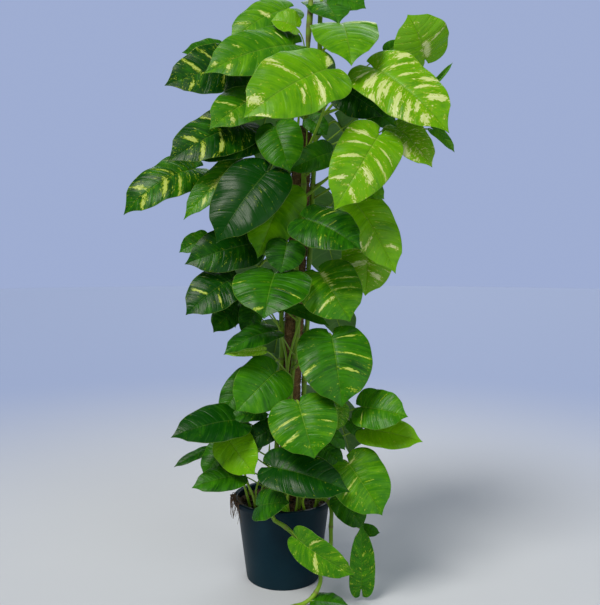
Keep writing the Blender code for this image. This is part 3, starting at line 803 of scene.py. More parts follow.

# Each leaf: junction of blade and petiole and tip of blade (mm), width (mm), azimuth and rise of the
# upper side's facing (degrees), cup of the margins, sag of the midrib (degrees), wave of the margins,
# how light its green is, which is its own green with painted light and shade in it (lighter where the
# leaf is lit from above, darker where it lies in shade), and how much of it is cream. Both of those
# are 0 to 1, or a little outside.
LEAVES = {
    "leaf_01": ((75, -155, 910), (-55, -220, 820), 128, -10, 15, -0.12, 35, 0.04, 0.76, 0.25),
    "leaf_02": ((155, -105, 925), (270, -175, 805), 122, 12, 15, -0.12, 35, 0.04, 0.85, 0.55),
    "leaf_03": ((105, -50, 1015), (115, -155, 915), 116, 0, 50, -0.15, 45, 0.03, 0.70, 0.10),
    "leaf_04": ((20, -45, 980), (-130, -105, 915), 108, -12, 20, -0.15, 35, 0.03, 0.55, 0.15),
    "leaf_05": ((10, 25, 1065), (-95, -20, 990), 86, -15, 20, -0.15, 40, 0.03, 0.62, 0.15),
    "leaf_06": ((255, -25, 960), (220, -50, 1030), 120, 15, 5, -0.1, 50, 0.03, 1.00, 0.4),
    "leaf_07": ((-75, -45, 945), (-200, -85, 900), 98, -20, 10, -0.05, 25, 0.05, 0.08, 0.35),
    "leaf_08": ((-25, -55, 895), (-120, -120, 820), 94, -15, 15, -0.12, 30, 0.03, 0.52, 0.25),
    "leaf_09": ((-65, -65, 840), (-190, -125, 765), 98, -18, 12, -0.15, 35, 0.04, 0.10, 0.35),
    "leaf_10": ((-155, -40, 765), (-275, -80, 680), 92, -25, 15, -0.15, 60, 0.05, 0.22, 0.40),
    "leaf_11": ((-75, -75, 770), (-165, -115, 670), 56, -15, 15, -0.05, 30, 0.03, 0.45, 0.4),
    "leaf_12": ((-25, -110, 750), (-105, -155, 630), 116, -10, 15, -0.15, 35, 0.03, -0.08, 0.0),
    "leaf_13": ((5, -85, 720), (-40, -115, 605), 92, -5, 10, -0.12, 25, 0.03, 0.72, -0.2),
    "leaf_14": ((160, -150, 805), (85, -205, 680), 102, 8, 18, -0.15, 40, 0.03, 0.85, 0.50),
    "leaf_15": ((195, -110, 825), (250, -140, 755), 70, 15, 15, -0.1, 30, 0.03, 1.30, 0.9),
    "leaf_16": ((-10, -85, 830), (15, -115, 750), 80, 0, 12, -0.12, 30, 0.03, 0.40, 0.1),
    "leaf_17": ((40, -150, 670), (130, -190, 620), 96, 8, 35, -0.15, 35, 0.03, 0.22, 0.1),
    "leaf_18": ((125, -115, 700), (190, -150, 580), 90, 15, 12, -0.12, 35, 0.03, 0.85, 0.3),
    "leaf_19": ((150, -70, 625), (145, -95, 540), 92, 12, 0, -0.12, 25, 0.03, 1.10, 0.6),
    "leaf_20": ((10, -125, 630), (0, -145, 580), 68, 0, 15, -0.12, 30, 0.03, 0.22, -0.2),
    "leaf_21": ((-10, -140, 580), (-25, -205, 510), 130, -5, 40, -0.15, 40, 0.03, 0.28, 0.0),
    "leaf_22": ((65, -115, 580), (115, -155, 500), 112, 10, 15, -0.15, 35, 0.03, 0.55, 0.25),
    "leaf_23": ((-85, -95, 570), (-160, -135, 510), 86, -20, 15, -0.15, 40, 0.03, 0.06, 0.1),
    "leaf_24": ((-55, -75, 630), (-165, -110, 595), 86, -18, 15, -0.12, 30, 0.03, 0.06, 0.1),
    "leaf_25": ((-15, -110, 480), (-95, -150, 445), 62, -10, 60, -0.1, 40, 0.04, 0.20, 0.0),
    "leaf_26": ((85, -145, 475), (100, -190, 365), 124, 6, 12, -0.15, 35, 0.03, 0.32, 0.1),
    "leaf_27": ((-10, -115, 410), (-75, -155, 350), 94, -5, 15, -0.12, 35, 0.03, 0.40, -0.1),
    "leaf_28": ((30, -165, 365), (55, -205, 285), 114, 0, 15, -0.15, 35, 0.03, 0.46, 0.2),
    "leaf_29": ((-75, -105, 325), (-185, -150, 305), 80, -20, 40, -0.12, 35, 0.03, 0.05, -0.1),
    "leaf_30": ((-95, -95, 290), (-45, -130, 235), 76, -5, 10, -0.1, 25, 0.03, 0.90, 0.1),
    "leaf_31": ((-75, -100, 225), (-155, -125, 210), 52, -20, 38, -0.1, 35, 0.03, 0.28, 0.0),
    "leaf_32": ((-15, -150, 255), (115, -175, 220), 82, 5, 42, -0.1, 35, 0.03, 0.02, 0.0),
    "leaf_33": ((135, -140, 355), (210, -170, 345), 76, 15, 30, -0.1, 35, 0.04, 0.45, 0.1),
    "leaf_34": ((145, -110, 310), (240, -140, 295), 62, 20, 28, -0.1, 35, 0.04, 0.95, 0.2),
    "leaf_35": ((115, -130, 255), (170, -160, 175), 100, 12, 12, -0.12, 35, 0.03, 0.56, 0.25),
    "leaf_36": ((-40, -115, 175), (15, -155, 195), 60, 5, 40, -0.05, 30, 0.03, 0.24, 0.0),
    "leaf_37": ((30, -140, 125), (125, -165, 75), 64, -25, 0, 0.0, 35, 0.03, 0.55, 0.4),
    "leaf_38": ((140, -110, 25), (140, -105, 140), 46, 5, 0, 0.15, 20, 0.04, 0.38, 0.35),
}
# Leaves on the trailing vines: which vine, and the share of the way along it.
TRAILING = {
    "leaf_36": ("trail_front", 0.3),
    "leaf_37": ("trail_front", 0.42),
    "leaf_38": ("trail_right", 0.9),
}

# Splashes of cream that can be picked out on the large leaves: the column (0 midrib to 1 margin, with
# a sign for the side) and the row (0 notch to 1 tip) of the middle, half its length and its breadth.
SPLASHES = {
    "leaf_01": (
        (0.70, 0.03, 0.45, 0.060), (0.55, 0.600, 0.60, 0.014), (0.88, 0.560, 0.20, 0.030),
        (0.55, 0.890, 0.55, 0.035), (-0.62, 0.47, 0.30, 0.035), (-0.25, 0.455, 0.30, 0.012),
        (-0.45, 0.64, 0.25, 0.015), (-0.40, 0.36, 0.30, 0.008), (-0.92, 0.90, 0.12, 0.050),
    ),
    "leaf_02": (
        (0.45, 0.36, 0.30, 0.045), (0.55, 0.50, 0.40, 0.030), (0.35, 0.555, 0.25, 0.012),
        (0.60, 0.660, 0.45, 0.030), (0.70, 0.750, 0.35, 0.020), (-0.50, 0.38, 0.40, 0.016),
        (-0.70, 0.62, 0.22, 0.030), (-0.75, 0.28, 0.25, 0.025), (-0.60, 0.80, 0.30, 0.020),
        (0.92, 0.45, 0.12, 0.050), (0.60, 0.86, 0.40, 0.020), (0.45, 0.22, 0.30, 0.014),
        (-0.35, 0.54, 0.25, 0.010), (-0.45, 0.70, 0.30, 0.012), (0.30, 0.80, 0.20, 0.010),
    ),
    "leaf_03": ((-0.65, 0.30, 0.35, 0.020), (-0.35, 0.34, 0.25, 0.010)),
    "leaf_04": (
        (0.40, 0.30, 0.20, 0.008), (0.55, 0.36, 0.15, 0.008), (0.50, 0.92, 0.40, 0.020),
        (-0.50, 0.86, 0.35, 0.014),
        (0.45, 0.74, 0.30, 0.010),
    ),
    "leaf_05": ((0.05, 0.62, 0.25, 0.030), (0.30, 0.60, 0.20, 0.012), (0.50, 0.82, 0.35, 0.014)),
    "leaf_06": ((0.10, 0.45, 0.12, 0.200), (0.50, 0.55, 0.30, 0.015)),
    "leaf_07": (
        (0.45, 0.74, 0.40, 0.016), (-0.40, 0.50, 0.30, 0.012), (-0.55, 0.80, 0.35, 0.014),
        (0.50, 0.55, 0.35, 0.010),
    ),
    "leaf_08": (
        (-0.45, 0.82, 0.40, 0.018), (0.06, 0.50, 0.07, 0.140), (-0.60, 0.66, 0.30, 0.012),
        (0.50, 0.74, 0.35, 0.012),
    ),
    "leaf_09": (
        (-0.45, 0.60, 0.40, 0.018), (-0.50, 0.76, 0.40, 0.014), (0.35, 0.80, 0.30, 0.014),
        (0.50, 0.50, 0.40, 0.012),
    ),
    "leaf_10": (
        (-0.35, 0.65, 0.40, 0.020), (-0.50, 0.50, 0.35, 0.014), (0.40, 0.80, 0.35, 0.014),
        (0.45, 0.56, 0.35, 0.012),
        (-0.50, 0.84, 0.35, 0.014),
    ),
    "leaf_11": ((-0.10, 0.60, 0.16, 0.120), (-0.40, 0.80, 0.25, 0.020)),
    "leaf_14": (
        (0.50, 0.30, 0.35, 0.030), (-0.40, 0.70, 0.30, 0.030), (-0.55, 0.55, 0.30, 0.014),
        (0.40, 0.46, 0.35, 0.012),
        (0.55, 0.62, 0.35, 0.014), (0.50, 0.80, 0.35, 0.014), (-0.45, 0.40, 0.30, 0.010),
        (-0.50, 0.86, 0.35, 0.012),
    ),
    "leaf_15": ((0.75, 0.60, 0.25, 0.120),),
    "leaf_17": ((-0.40, 0.34, 0.35, 0.010), (-0.55, 0.46, 0.30, 0.010), (0.70, 0.62, 0.20, 0.012)),
    "leaf_18": ((0.85, 0.55, 0.14, 0.120), (0.60, 0.70, 0.30, 0.014), (-0.50, 0.82, 0.30, 0.014)),
    "leaf_19": ((0.45, 0.60, 0.40, 0.040), (-0.45, 0.75, 0.30, 0.030)),
    "leaf_21": ((0.55, 0.90, 0.40, 0.014), (0.80, 0.50, 0.20, 0.016), (-0.72, 0.66, 0.22, 0.012)),
    "leaf_22": (
        (-0.06, 0.30, 0.07, 0.200), (-0.40, 0.66, 0.40, 0.012), (-0.55, 0.50, 0.30, 0.012),
        (0.45, 0.72, 0.35, 0.014), (0.60, 0.40, 0.25, 0.012),
    ),
    "leaf_23": ((-0.55, 0.62, 0.30, 0.014), (0.50, 0.74, 0.30, 0.012)),
    "leaf_26": (
        (-0.45, 0.22, 0.35, 0.012), (-0.55, 0.52, 0.40, 0.012), (-0.40, 0.70, 0.35, 0.014),
        (0.80, 0.60, 0.20, 0.020), (-0.70, 0.85, 0.25, 0.014),
    ),
    "leaf_28": ((0.45, 0.50, 0.40, 0.020), (0.55, 0.72, 0.30, 0.016), (-0.60, 0.60, 0.25, 0.012)),
    "leaf_33": ((0.50, 0.30, 0.30, 0.014), (-0.55, 0.60, 0.30, 0.012)),
    "leaf_35": ((-0.10, 0.14, 0.20, 0.050), (0.50, 0.55, 0.30, 0.012)),
    "leaf_37": ((0.50, 0.60, 0.40, 0.030), (-0.50, 0.45, 0.30, 0.016)),
}

# Small and half-hidden leaves that fill the plant out, by group, given like the others, their tone
# too holding painted light and shade, but without splashes placed one by one.
FILLERS = {
    "top": (
        ((-90, -20, 965), (-175, -50, 965), 62, -20, 20, -0.1, 30, 0.05, 0.35, 0.1),
        ((25, -30, 1015), (-20, -30, 1025), 56, 10, 30, 0.1, 50, 0.05, 0.95, 0.5),
        ((95, -10, 1075), (150, -20, 1050), 60, 10, 25, -0.1, 30, 0.04, 0.40, 0.2),
        ((185, -40, 970), (210, -45, 985), 26, 15, 10, -0.1, 30, 0.04, 0.45, 0.0),
        ((110, -30, 905), (180, -45, 855), 80, 10, 10, -0.1, 30, 0.04, 0.10, 0.1),
        ((160, -35, 865), (205, -40, 835), 40, 15, 10, -0.1, 30, 0.04, 0.35, 0.1),
        ((260, -90, 825), (295, -100, 785), 22, 20, 10, 0.0, 40, 0.03, 0.55, 0.0),
        ((262, -62, 905), (298, -62, 945), 9, 20, 10, 0.6, 20, 0.02, 0.55, 0.0),
        ((50, -50, 850), (80, -60, 820), 40, 0, 20, -0.1, 30, 0.04, 0.30, 0.0),
        ((70, 10, 1075), (100, -60, 1010), 84, 5, 40, -0.1, 35, 0.04, 0.30, 0.2),
    ),
    "upper": (
        ((-45, -70, 810), (-150, -105, 770), 56, -15, 15, -0.1, 30, 0.04, 0.12, 0.1),
        ((85, -60, 790), (10, -85, 755), 50, 0, 5, 0.15, 60, 0.05, 0.35, 0.1),
        ((175, -60, 785), (170, -70, 730), 40, 15, 10, -0.1, 30, 0.04, 0.40, 0.1),
        ((140, -100, 735), (175, -110, 705), 36, 15, 10, -0.1, 30, 0.04, 0.60, 0.2),
        ((-135, -60, 640), (-180, -75, 615), 36, -20, 10, 0.2, 40, 0.06, 0.30, 0.2),
        ((-80, -60, 520), (-120, -85, 475), 56, -15, 15, -0.1, 30, 0.04, 0.15, 0.1),
        ((-50, -80, 525), (-60, -95, 465), 44, -10, 10, -0.1, 30, 0.04, 0.20, 0.0),
        ((5, -60, 520), (85, -75, 485), 26, 0, 35, 0.1, 30, 0.03, 0.40, 0.0),
    ),
    "lower": (
        ((-60, -60, 395), (-108, -90, 322), 56, -15, 15, -0.1, 30, 0.04, 0.25, 0.0),
        ((-35, -90, 335), (-95, -105, 325), 34, -10, 40, -0.1, 30, 0.04, 0.15, 0.0),
        ((-10, -90, 310), (-75, -105, 275), 44, -10, 20, -0.1, 30, 0.04, 0.12, 0.0),
        ((-100, -60, 265), (-140, -80, 215), 60, -15, 30, -0.1, 30, 0.04, 0.30, 0.0),
        ((-140, -50, 255), (-195, -70, 230), 22, -20, 40, -0.1, 20, 0.04, 0.12, 0.0),
        ((70, -110, 280), (105, -130, 250), 40, 5, 20, -0.1, 30, 0.04, 0.25, 0.0),
        ((80, -110, 310), (110, -120, 275), 26, 10, 20, -0.1, 30, 0.04, 0.35, 0.0),
        ((100, -130, 355), (95, -140, 315), 34, 10, 10, -0.1, 30, 0.04, 0.60, 0.6),
        ((120, -100, 320), (140, -105, 295), 26, 10, 10, -0.1, 30, 0.04, 0.35, 0.0),
        ((-32, -126, 449), (-94, -152, 446), 16, -10, 10, 0.1, 40, 0.04, 0.95, 0.9),
    ),
    "foot": (
        ((105, -70, 175), (145, -90, 125), 56, 12, 20, 0.1, 30, 0.07, 0.30, 0.1),
        ((145, -80, 120), (175, -85, 115), 22, 12, 20, 0.1, 30, 0.04, 0.30, 0.0),
        ((-12, -86, 172), (12, -98, 158), 15, 0, 40, -0.1, 30, 0.04, 0.70, 0.2),
    ),
}

# The leaf near the end of the front trailing vine, which lies on the floor.
FLOOR_LEAF = ((58, -128, 11), (116, -132, 5), 48, 0, 80, -0.04, 12, 0.03, 0.35, 0.0)


class Leaf:
    """One leaf: where its blade starts and ends, how its upper side faces, and how it is formed."""

    def __init__(self, junction, tip, width, azimuth, rise, cup, sag, wave, tone, cream, splashes=()):
        self.junction = Vector(junction) / 1000
        self.tip = Vector(tip) / 1000
        self.width = width / 1000
        self.cup = cup
        self.wave = wave
        # The tone is the leaf's own green with painted light and shade in it.
        self.tone = tone
        self.cream = cream
        self.splashes = splashes
        chord = self.tip - self.junction
        self.along = chord.normalized()
        facing = level_direction(azimuth) * cos(radians(rise)) + Vector((0, 0, sin(radians(rise))))
        self.up = (facing - self.along * facing.dot(self.along)).normalized()
        self.across = self.along.cross(self.up)
        self.half_sag = radians(sag) / 2
        self.radius = chord.length / 2 / sin(self.half_sag)
        self.phase = self.junction.x * 90 + self.junction.z * 50

    def midrib(self, share):
        """The point and the upward normal on the arched midrib, at a share of its length."""
        angle = self.half_sag * (1 - 2 * share)
        run = self.radius * (sin(self.half_sag) - sin(angle))
        lift = self.radius * (cos(angle) - cos(self.half_sag))
        normal = self.up * cos(angle) - self.along * sin(angle)
        return self.junction + self.along * run + self.up * lift, normal

    def surface(self, column, row):
        """A point on the middle of the blade and the blade's upward direction there."""
        x, y = blade_place(column, row)
        centre, normal = self.midrib(y)
        out = abs(x) * 2
        side = 1.7 if column < 0 else 0.0
        ripple = self.wave * sin(row * 11.0 + self.phase + side)
        ripple += 0.35 * self.wave * sin(row * 27.0 + self.phase * 2 + side * 3)
        height = 0.5 * (0.22 * out + (self.cup - 0.12) * out**2) + ripple * out**2
        vein = 0.5 + 0.5 * cos(2 * pi * (row * SIDE_VEINS + 0.25 * (column < 0)))
        ends = min(1.0, 6 * (1 - row), 8 * row)
        quilt = vein**2.5 * min(1.0, abs(column) * 6) * (1 - abs(column) ** 4) * ends
        channel = exp(-((column / 0.035) ** 2)) * (1 - row) ** 0.5
        uneven = noise.noise(Vector((x * 7, y * 7, self.phase))) * 0.011 * out
        height += uneven - 0.0027 * quilt - 0.005 * channel
        return centre + self.across * x * self.width + normal * height * self.width, normal

    def splash(self, column, row):
        """How strongly the splashes of cream reach a place on the blade, 0 to about 1."""
        reach = 0.0
        for middle, level, half, breadth in self.splashes:
            away = ((column - middle) / half) ** 2 + ((row - level) / breadth) ** 2
            reach = max(reach, exp(-0.7 * away) if away < 9 else 0.0)
        return reach


def half_outline(row):
    """Half the blade's width and the place along it, as shares of its width and length."""
    if row < LOBE_END:
        angle = -0.62 * pi * (1 - row / LOBE_END)
        return 0.17 + 0.33 * cos(angle), 0.16 + 0.31 * sin(angle)
    share = (row - LOBE_END) / (1 - LOBE_END)
    drip = 1 - 0.72 * max(0.0, (share - 0.78) / 0.22) ** 0.9
    return 0.5 * cos(pi / 2 * share**1.55) ** 0.88 * drip, 0.16 + 0.84 * share


def blade_place(column, row):
    """Where a place on the blade lies, across and along it, with the side veins curving forwards."""
    edge_x, edge_y = half_outline(row)
    midrib_y = row**2.2
    bend_x, bend_y = 0.6 * edge_x, midrib_y + 0.35 * (edge_y - midrib_y)
    share = abs(column)
    x = 2 * share * (1 - share) * bend_x + share**2 * edge_x
    y = (1 - share) ** 2 * midrib_y + 2 * share * (1 - share) * bend_y + share**2 * edge_y
    return (x if column > 0 else -x), y


def petiole_path(leaf, root, outward):
    """Centres from the root on the vine to just behind the blade's junction."""
    reach = (leaf.junction - root).length
    arrive = leaf.junction - leaf.along * 0.22 * reach - leaf.up * 0.16 * reach
    leave = root + outward * 0.30 * reach + Vector((0, 0, 0.12 * reach))
    path = []
    for number in range(PETIOLE_RINGS):
        share = number / PETIOLE_RINGS
        rest = 1 - share
        path.append(
            root * rest**3 + leave * 3 * share * rest**2
            + arrive * 3 * share**2 * rest + leaf.junction * share**3
        )
    return path


def root_on(centre, along, target):
    """The place on a vine's surface facing a target, and the direction out of the vine there."""
    towards = target - centre
    outward = (towards - along * towards.dot(along)).normalized()
    return centre + outward * VINE_RADIUS * 0.6, outward


def climbing_root(junction):
    """Where a leaf joins the climbing vine nearest to it in azimuth, some way below the blade."""
    away = junction - pole_axis(junction.z)
    azimuth = atan2(away.x, -away.y) * 180 / pi

    def turn_to(name):
        difference = abs(azimuth - CLIMBING_VINES[name][0]) % 360
        return min(difference, 360 - difference)

    vine = min(CLIMBING_VINES, key=turn_to)
    height = min(max(junction.z - 0.45 * away.length, 0.165), CLIMBING_VINES[vine][1] - 0.012)
    centre = vine_point(vine, height)
    along = (vine_point(vine, height + 0.005) - vine_point(vine, height - 0.005)).normalized()
    return root_on(centre, along, junction)


def trailing_root(junction, path, share):
    """Where a leaf joins a trailing vine, at a share of the way along it."""
    index = int(share * (len(path) - 2))
    return root_on(path[index], (path[index + 1] - path[index]).normalized(), junction)


def grow_blade(shape, layers, leaf, columns, rows):
    """A grid warped to the blade's form and given its thickness, with its pattern's places in layers."""
    start = len(shape.verts)
    grid = bmesh.ops.create_grid(shape, x_segments=columns, y_segments=rows, size=1.0)["verts"]
    faces = list({face for vert in grid for face in vert.link_faces})
    for vert in grid:
        column, row = vert.co.x, (vert.co.y + 1) / 2
        vert[layers["blade"]] = Vector((column, row, 1.0))
        # The kind layer carries the leaf's green with its painted light and shade, its cream and its seed.
        vert[layers["kind"]] = Vector((leaf.tone, leaf.cream, leaf.phase % 1.0))
        vert[layers["stem"]] = Vector((leaf.splash(column, row), 0.0, 0.0))
        place, normal = leaf.surface(column, row)
        vert.co = place + normal * BLADE_THICKNESS / 2
    bmesh.ops.remove_doubles(shape, verts=grid, dist=0.00001)
    top = len(shape.verts)
    bmesh.ops.solidify(shape, geom=[face for face in faces if face.is_valid], thickness=BLADE_THICKNESS)
    shape.verts.ensure_lookup_table()
    for vert in shape.verts[top:]:
        vert[layers["blade"]].z = 0.0


def grow_petiole(shape, layers, leaf, root, outward):
    """The petiole from its clasping base to the blade, and on under it as the raised midrib."""
    scale = min(1.25, max(0.6, leaf.width / 0.110))
    path = petiole_path(leaf, root, outward)
    radii = []
    for number in range(len(path)):
        share = number / len(path)
        base = 0.75 * exp(-((share / 0.10) ** 2)) + 0.25 * exp(-((share / 0.35) ** 2))
        knee = 0.22 * exp(-(((share - 0.94) / 0.06) ** 2))
        radii.append(PETIOLE_RADIUS * scale * (0.95 + base + knee))
    for number in range(MIDRIB_RINGS):
        run = number / (MIDRIB_RINGS - 1)
        share = 0.004 + 0.90 * run
        centre, normal = leaf.midrib(share)
        radius = PETIOLE_RADIUS * scale * (0.95 - 0.78 * run**0.7)
        path.append(centre - normal * (radius + 0.005 * leaf.width * (1 - share ** (1 / 2.2)) ** 0.5))
        radii.append(radius)
    for number in range(PETIOLE_RINGS):
        path[number] = path[number] - leaf.midrib(0)[1] * radii[number] * (number / PETIOLE_RINGS) ** 5
    before = len(shape.faces)
    rings = grow_limb(shape, path, radii, 10, leaf.up)
    shape.faces.ensure_lookup_table()
    for face in shape.faces[before:]:
        face.material_index = 1
    # The petiole's green follows the leaf's tone, painted light and shade included.
    for number, ring in enumerate(rings):
        scar = 0.55 * exp(-((number / 1.5) ** 2))
        for vert in ring:
            vert[layers["stem"]] = Vector((scar, 0.62 + 0.4 * leaf.tone, 0.0))


def new_leaf_shape():
    shape = bmesh.new()
    layers = {name: shape.verts.layers.float_vector.new(name) for name in ("blade", "kind", "stem")}
    return shape, layers


def finish_leaves(name, shape, nodes=()):
    bmesh.ops.recalc_face_normals(shape, faces=shape.faces)
    item = new_object(name, shape)
    item.data.shade_smooth()
    item.data.materials.append(leaf_finish)
    item.data.materials.append(petiole_finish)
    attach(item, "root")
    if nodes:
        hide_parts(*nodes)


def grow_leaves(name, grown, columns, rows, nodes=()):
    """One piece of the given leaves, each with its root and the direction out of its vine there."""
    shape, layers = new_leaf_shape()
    for leaf, (root, outward) in grown:
        grow_blade(shape, layers, leaf, columns, rows)
        grow_petiole(shape, layers, leaf, root, outward)
    finish_leaves(name, shape, nodes)


def variegation_group():
    """Cream splashes drawn out along the side veins, the yellow-green round them, and fine speckles."""
    tree, given, result = new_group(
        "variegation",
        [(label, "NodeSocketFloat", 0.0) for label in ("Column", "Row", "Seed", "Amount", "Splash")],
        [("Cream", "NodeSocketFloat"), ("Halo", "NodeSocketFloat")],
    )
    wire = Finish(tree)
    column, row, seed = given.outputs["Column"], given.outputs["Row"], given.outputs["Seed"]
    side = wire.math("MULTIPLY", wire.math("SIGN", column), 3.7)
    layer = wire.math("ADD", wire.math("MULTIPLY", seed, 41.0), side)
    out = wire.math("ABSOLUTE", column)
    broad_place = wire.vector(wire.math("MULTIPLY", out, 2.6), wire.math("MULTIPLY", row, 26.0), layer)
    fine_place = wire.vector(wire.math("MULTIPLY", out, 9.0), wire.math("MULTIPLY", row, 90.0), layer)
    broad = wire.noise(broad_place, 1.0, 4.0, 0.65, 0.35)
    fine = wire.noise(fine_place, 1.0, 3.0, 0.65, 0.2)
    pattern = wire.plus(wire.math("MULTIPLY", broad, 1.45), fine, 1.25)
    pattern = wire.plus(pattern, given.outputs["Amount"], 0.30)
    pattern = wire.plus(pattern, given.outputs["Splash"], 0.62)
    wire.plug(result.inputs["Cream"], wire.spread(pattern, 1.78, 1.90))
    wire.plug(result.inputs["Halo"], wire.spread(pattern, 1.58, 1.84))
    return tree


def leaf_veins_group():
    """The net of veins: the midrib, the side veins, fine ribs between them and bands of deeper green."""
    tree, given, result = new_group(
        "leaf_veins",
        [(label, "NodeSocketFloat", 0.0) for label in ("Column", "Row", "Seed")],
        [(label, "NodeSocketFloat") for label in ("Midrib", "Side", "Ribs", "Bands", "Rim")],
    )
    wire = Finish(tree)
    column, row, seed = given.outputs["Column"], given.outputs["Row"], given.outputs["Seed"]
    out = wire.math("ABSOLUTE", column)
    left = wire.math("LESS_THAN", column, 0.0)
    turn = wire.plus(wire.math("MULTIPLY", row, float(SIDE_VEINS)), left, 0.25)
    away = wire.math("ABSOLUTE", wire.math("SUBTRACT", wire.math("FRACT", wire.math("ADD", turn, 0.5)), 0.5))
    wire.plug(result.inputs["Midrib"], wire.spread(out, 0.006, 0.024, 1.0, 0.0))
    wire.plug(result.inputs["Side"], wire.spread(away, 0.0, 0.11, 1.0, 0.0))
    lines = wire.vector(wire.math("MULTIPLY", out, 1.4), wire.math("MULTIPLY", row, 55.0), seed)
    wire.plug(result.inputs["Ribs"], wire.noise(lines, 1.0, 2.0, 0.55))
    strips = wire.vector(wire.math("MULTIPLY", column, 0.9), wire.math("MULTIPLY", row, 13.0), seed)
    wire.plug(result.inputs["Bands"], wire.noise(strips, 1.0, 3.0, 0.6, 0.3))
    wire.plug(result.inputs["Rim"], wire.spread(out, 0.972, 0.990))
    return tree


variegation = variegation_group()
leaf_veins = leaf_veins_group()


def leaf_material():
    material, shader, wire = new_material("leaf_finish", 0.34, 0.15)
    column, row, top = wire.attribute("blade")
    tone, cream, seed = wire.attribute("kind")
    splash, _, _ = wire.attribute("stem")
    place = wire.place()
    uneven = wire.group(mottle, Place=place, Slow_Scale=34.0, Fine_Scale=750.0)
    veins = wire.group(leaf_veins, Column=column, Row=row, Seed=seed)
    patches = wire.group(variegation, Column=column, Row=row, Seed=seed, Amount=cream, Splash=splash)
    # Painted light and shade: the green starts from the leaf's tone, lighter on leaves that are lit and
    # darker on leaves in shade; the mottle, ribs and bands add the leaf's own unevenness.
    light = tone
    for value, share in ((uneven["Slow"], 0.5), (veins["Ribs"], 0.35), (veins["Bands"], 0.75)):
        light = wire.plus(light, wire.math("SUBTRACT", value, 0.5), share)
    light = wire.plus(light, veins["Side"], 0.05)
    green = wire.mix(wire.spread(light, 0.0, 0.5), (0.0030, 0.052, 0.0008, 1), (0.036, 0.190, 0.0010, 1))
    green = wire.mix(wire.spread(light, 0.4, 1.0), green, (0.160, 0.420, 0.0010, 1))
    green = wire.mix(wire.math("MULTIPLY", patches["Halo"], 0.75), green, (0.360, 0.500, 0.0100, 1))
    ribs = wire.spread(veins["Ribs"], 0.3, 0.7)
    pale = wire.mix(ribs, (0.560, 0.680, 0.1700, 1), (0.740, 0.800, 0.3600, 1))
    # Painted shade: the cream turns a dull yellow-green on leaves whose tone is darkened for shade.
    pale = wire.mix(wire.spread(tone, 0.35, 0.75, 0.70, 0.0), pale, (0.420, 0.520, 0.0400, 1))
    upper = wire.mix(patches["Cream"], green, pale)
    lines = wire.math("MULTIPLY", veins["Midrib"], wire.spread(light, 0.0, 0.9, 0.12, 0.50))
    upper = wire.mix(lines, upper, (0.230, 0.430, 0.0300, 1))
    upper = wire.mix(wire.math("MULTIPLY", veins["Rim"], 0.30), upper, (0.300, 0.480, 0.0600, 1))
    under = wire.mix(0.62, green, (0.130, 0.250, 0.0750, 1))
    under = wire.mix(wire.math("MULTIPLY", patches["Cream"], 0.75), under, (0.520, 0.600, 0.3200, 1))
    under = wire.mix(wire.math("MULTIPLY", veins["Side"], 0.25), under, (0.220, 0.380, 0.1100, 1))
    colour = wire.mix(wire.spread(top, 0.3, 0.7), under, upper)
    wire.plug(shader.inputs["Base Color"], colour)
    gloss = wire.math(
        "ADD", wire.math("MULTIPLY", uneven["Fine"], 0.14), wire.spread(top, 0.3, 0.7, 0.50, 0.20)
    )
    gloss = wire.plus(gloss, uneven["Slow"], 0.08)
    wire.plug(shader.inputs["Roughness"], gloss)
    relief = wire.math("MULTIPLY", veins["Side"], -0.25)
    relief = wire.plus(relief, veins["Ribs"], 0.55)
    relief = wire.plus(relief, uneven["Fine"], 0.04)
    relief = wire.math("SUBTRACT", relief, wire.math("MULTIPLY", veins["Midrib"], 0.6))
    wire.plug(shader.inputs["Normal"], wire.bump(relief, 0.0011, 0.85))
    return material


def back_leaf(number):
    """One of the far side's leaves, spread up the pole and hanging outwards, by its number from the foot."""
    height = BACK_LOWEST + BACK_RISE * number
    azimuth = 180 + BACK_SPREAD * sin(2.4 * number + 1.9)
    reach = 78 + 26 * (number * 5 % 4) / 3
    length = 128 + 12 * (number * 3 % 4)
    junction = pole_axis(height / 1000) * 1000 + level_direction(azimuth) * reach
    tip = junction + level_direction(azimuth) * 0.50 * length - Vector((0, 0, 0.84 * length))
    junction, tip = ([round(value) for value in point] for point in (junction, tip))
    # Painted light: the far side's leaves get a lighter green the higher they stand, as if lit from above.
    tone = 0.25 + 0.045 * number + 0.15 * sin(number * 2.1)
    return Leaf(junction, tip, 0.80 * length, azimuth, 22, -0.12, 36, 0.03, tone, 0.35 * sin(number * 1.7))


leaf_finish = leaf_material()
petiole_finish = stem_material("petiole_finish", 0.50, 0.0003, 0.5)

for name, row in LEAVES.items():
    leaf = Leaf(*row, SPLASHES.get(name, ()))
    if name in TRAILING:
        trail, share = TRAILING[name]
        root = trailing_root(leaf.junction, trails[trail], share)
    else:
        root = climbing_root(leaf.junction)
    grow_leaves(name + "_full", [(leaf, root)], *(FINE_GRID if name in SPLASHES else PLAIN_GRID), [name])

for number in range(BACK_LEAVES):
    leaf = back_leaf(number)
    name = f"leaf_{len(LEAVES) + number + 1}"
    grow_leaves(name + "_full", [(leaf, climbing_root(leaf.junction))], *PLAIN_GRID, [name])

for group, rows_of_group in FILLERS.items():
    leaves = [Leaf(*row) for row in rows_of_group]
    grow_leaves("fill_leaves_" + group, [(leaf, climbing_root(leaf.junction)) for leaf in leaves], 36, 42)

leaf = Leaf(*FLOOR_LEAF)
root = trailing_root(leaf.junction, trails["trail_front"], 0.86)
grow_leaves("leaf_on_the_floor", [(leaf, root)], 44, 50)

# ---------------------------------------------------------------------------------------------
# Shoots: young stems and leaf stalks that come straight out of the soil between the vines' feet,
# pale green and soft, and the papery sheath round the newest leaf at the top of the plant.

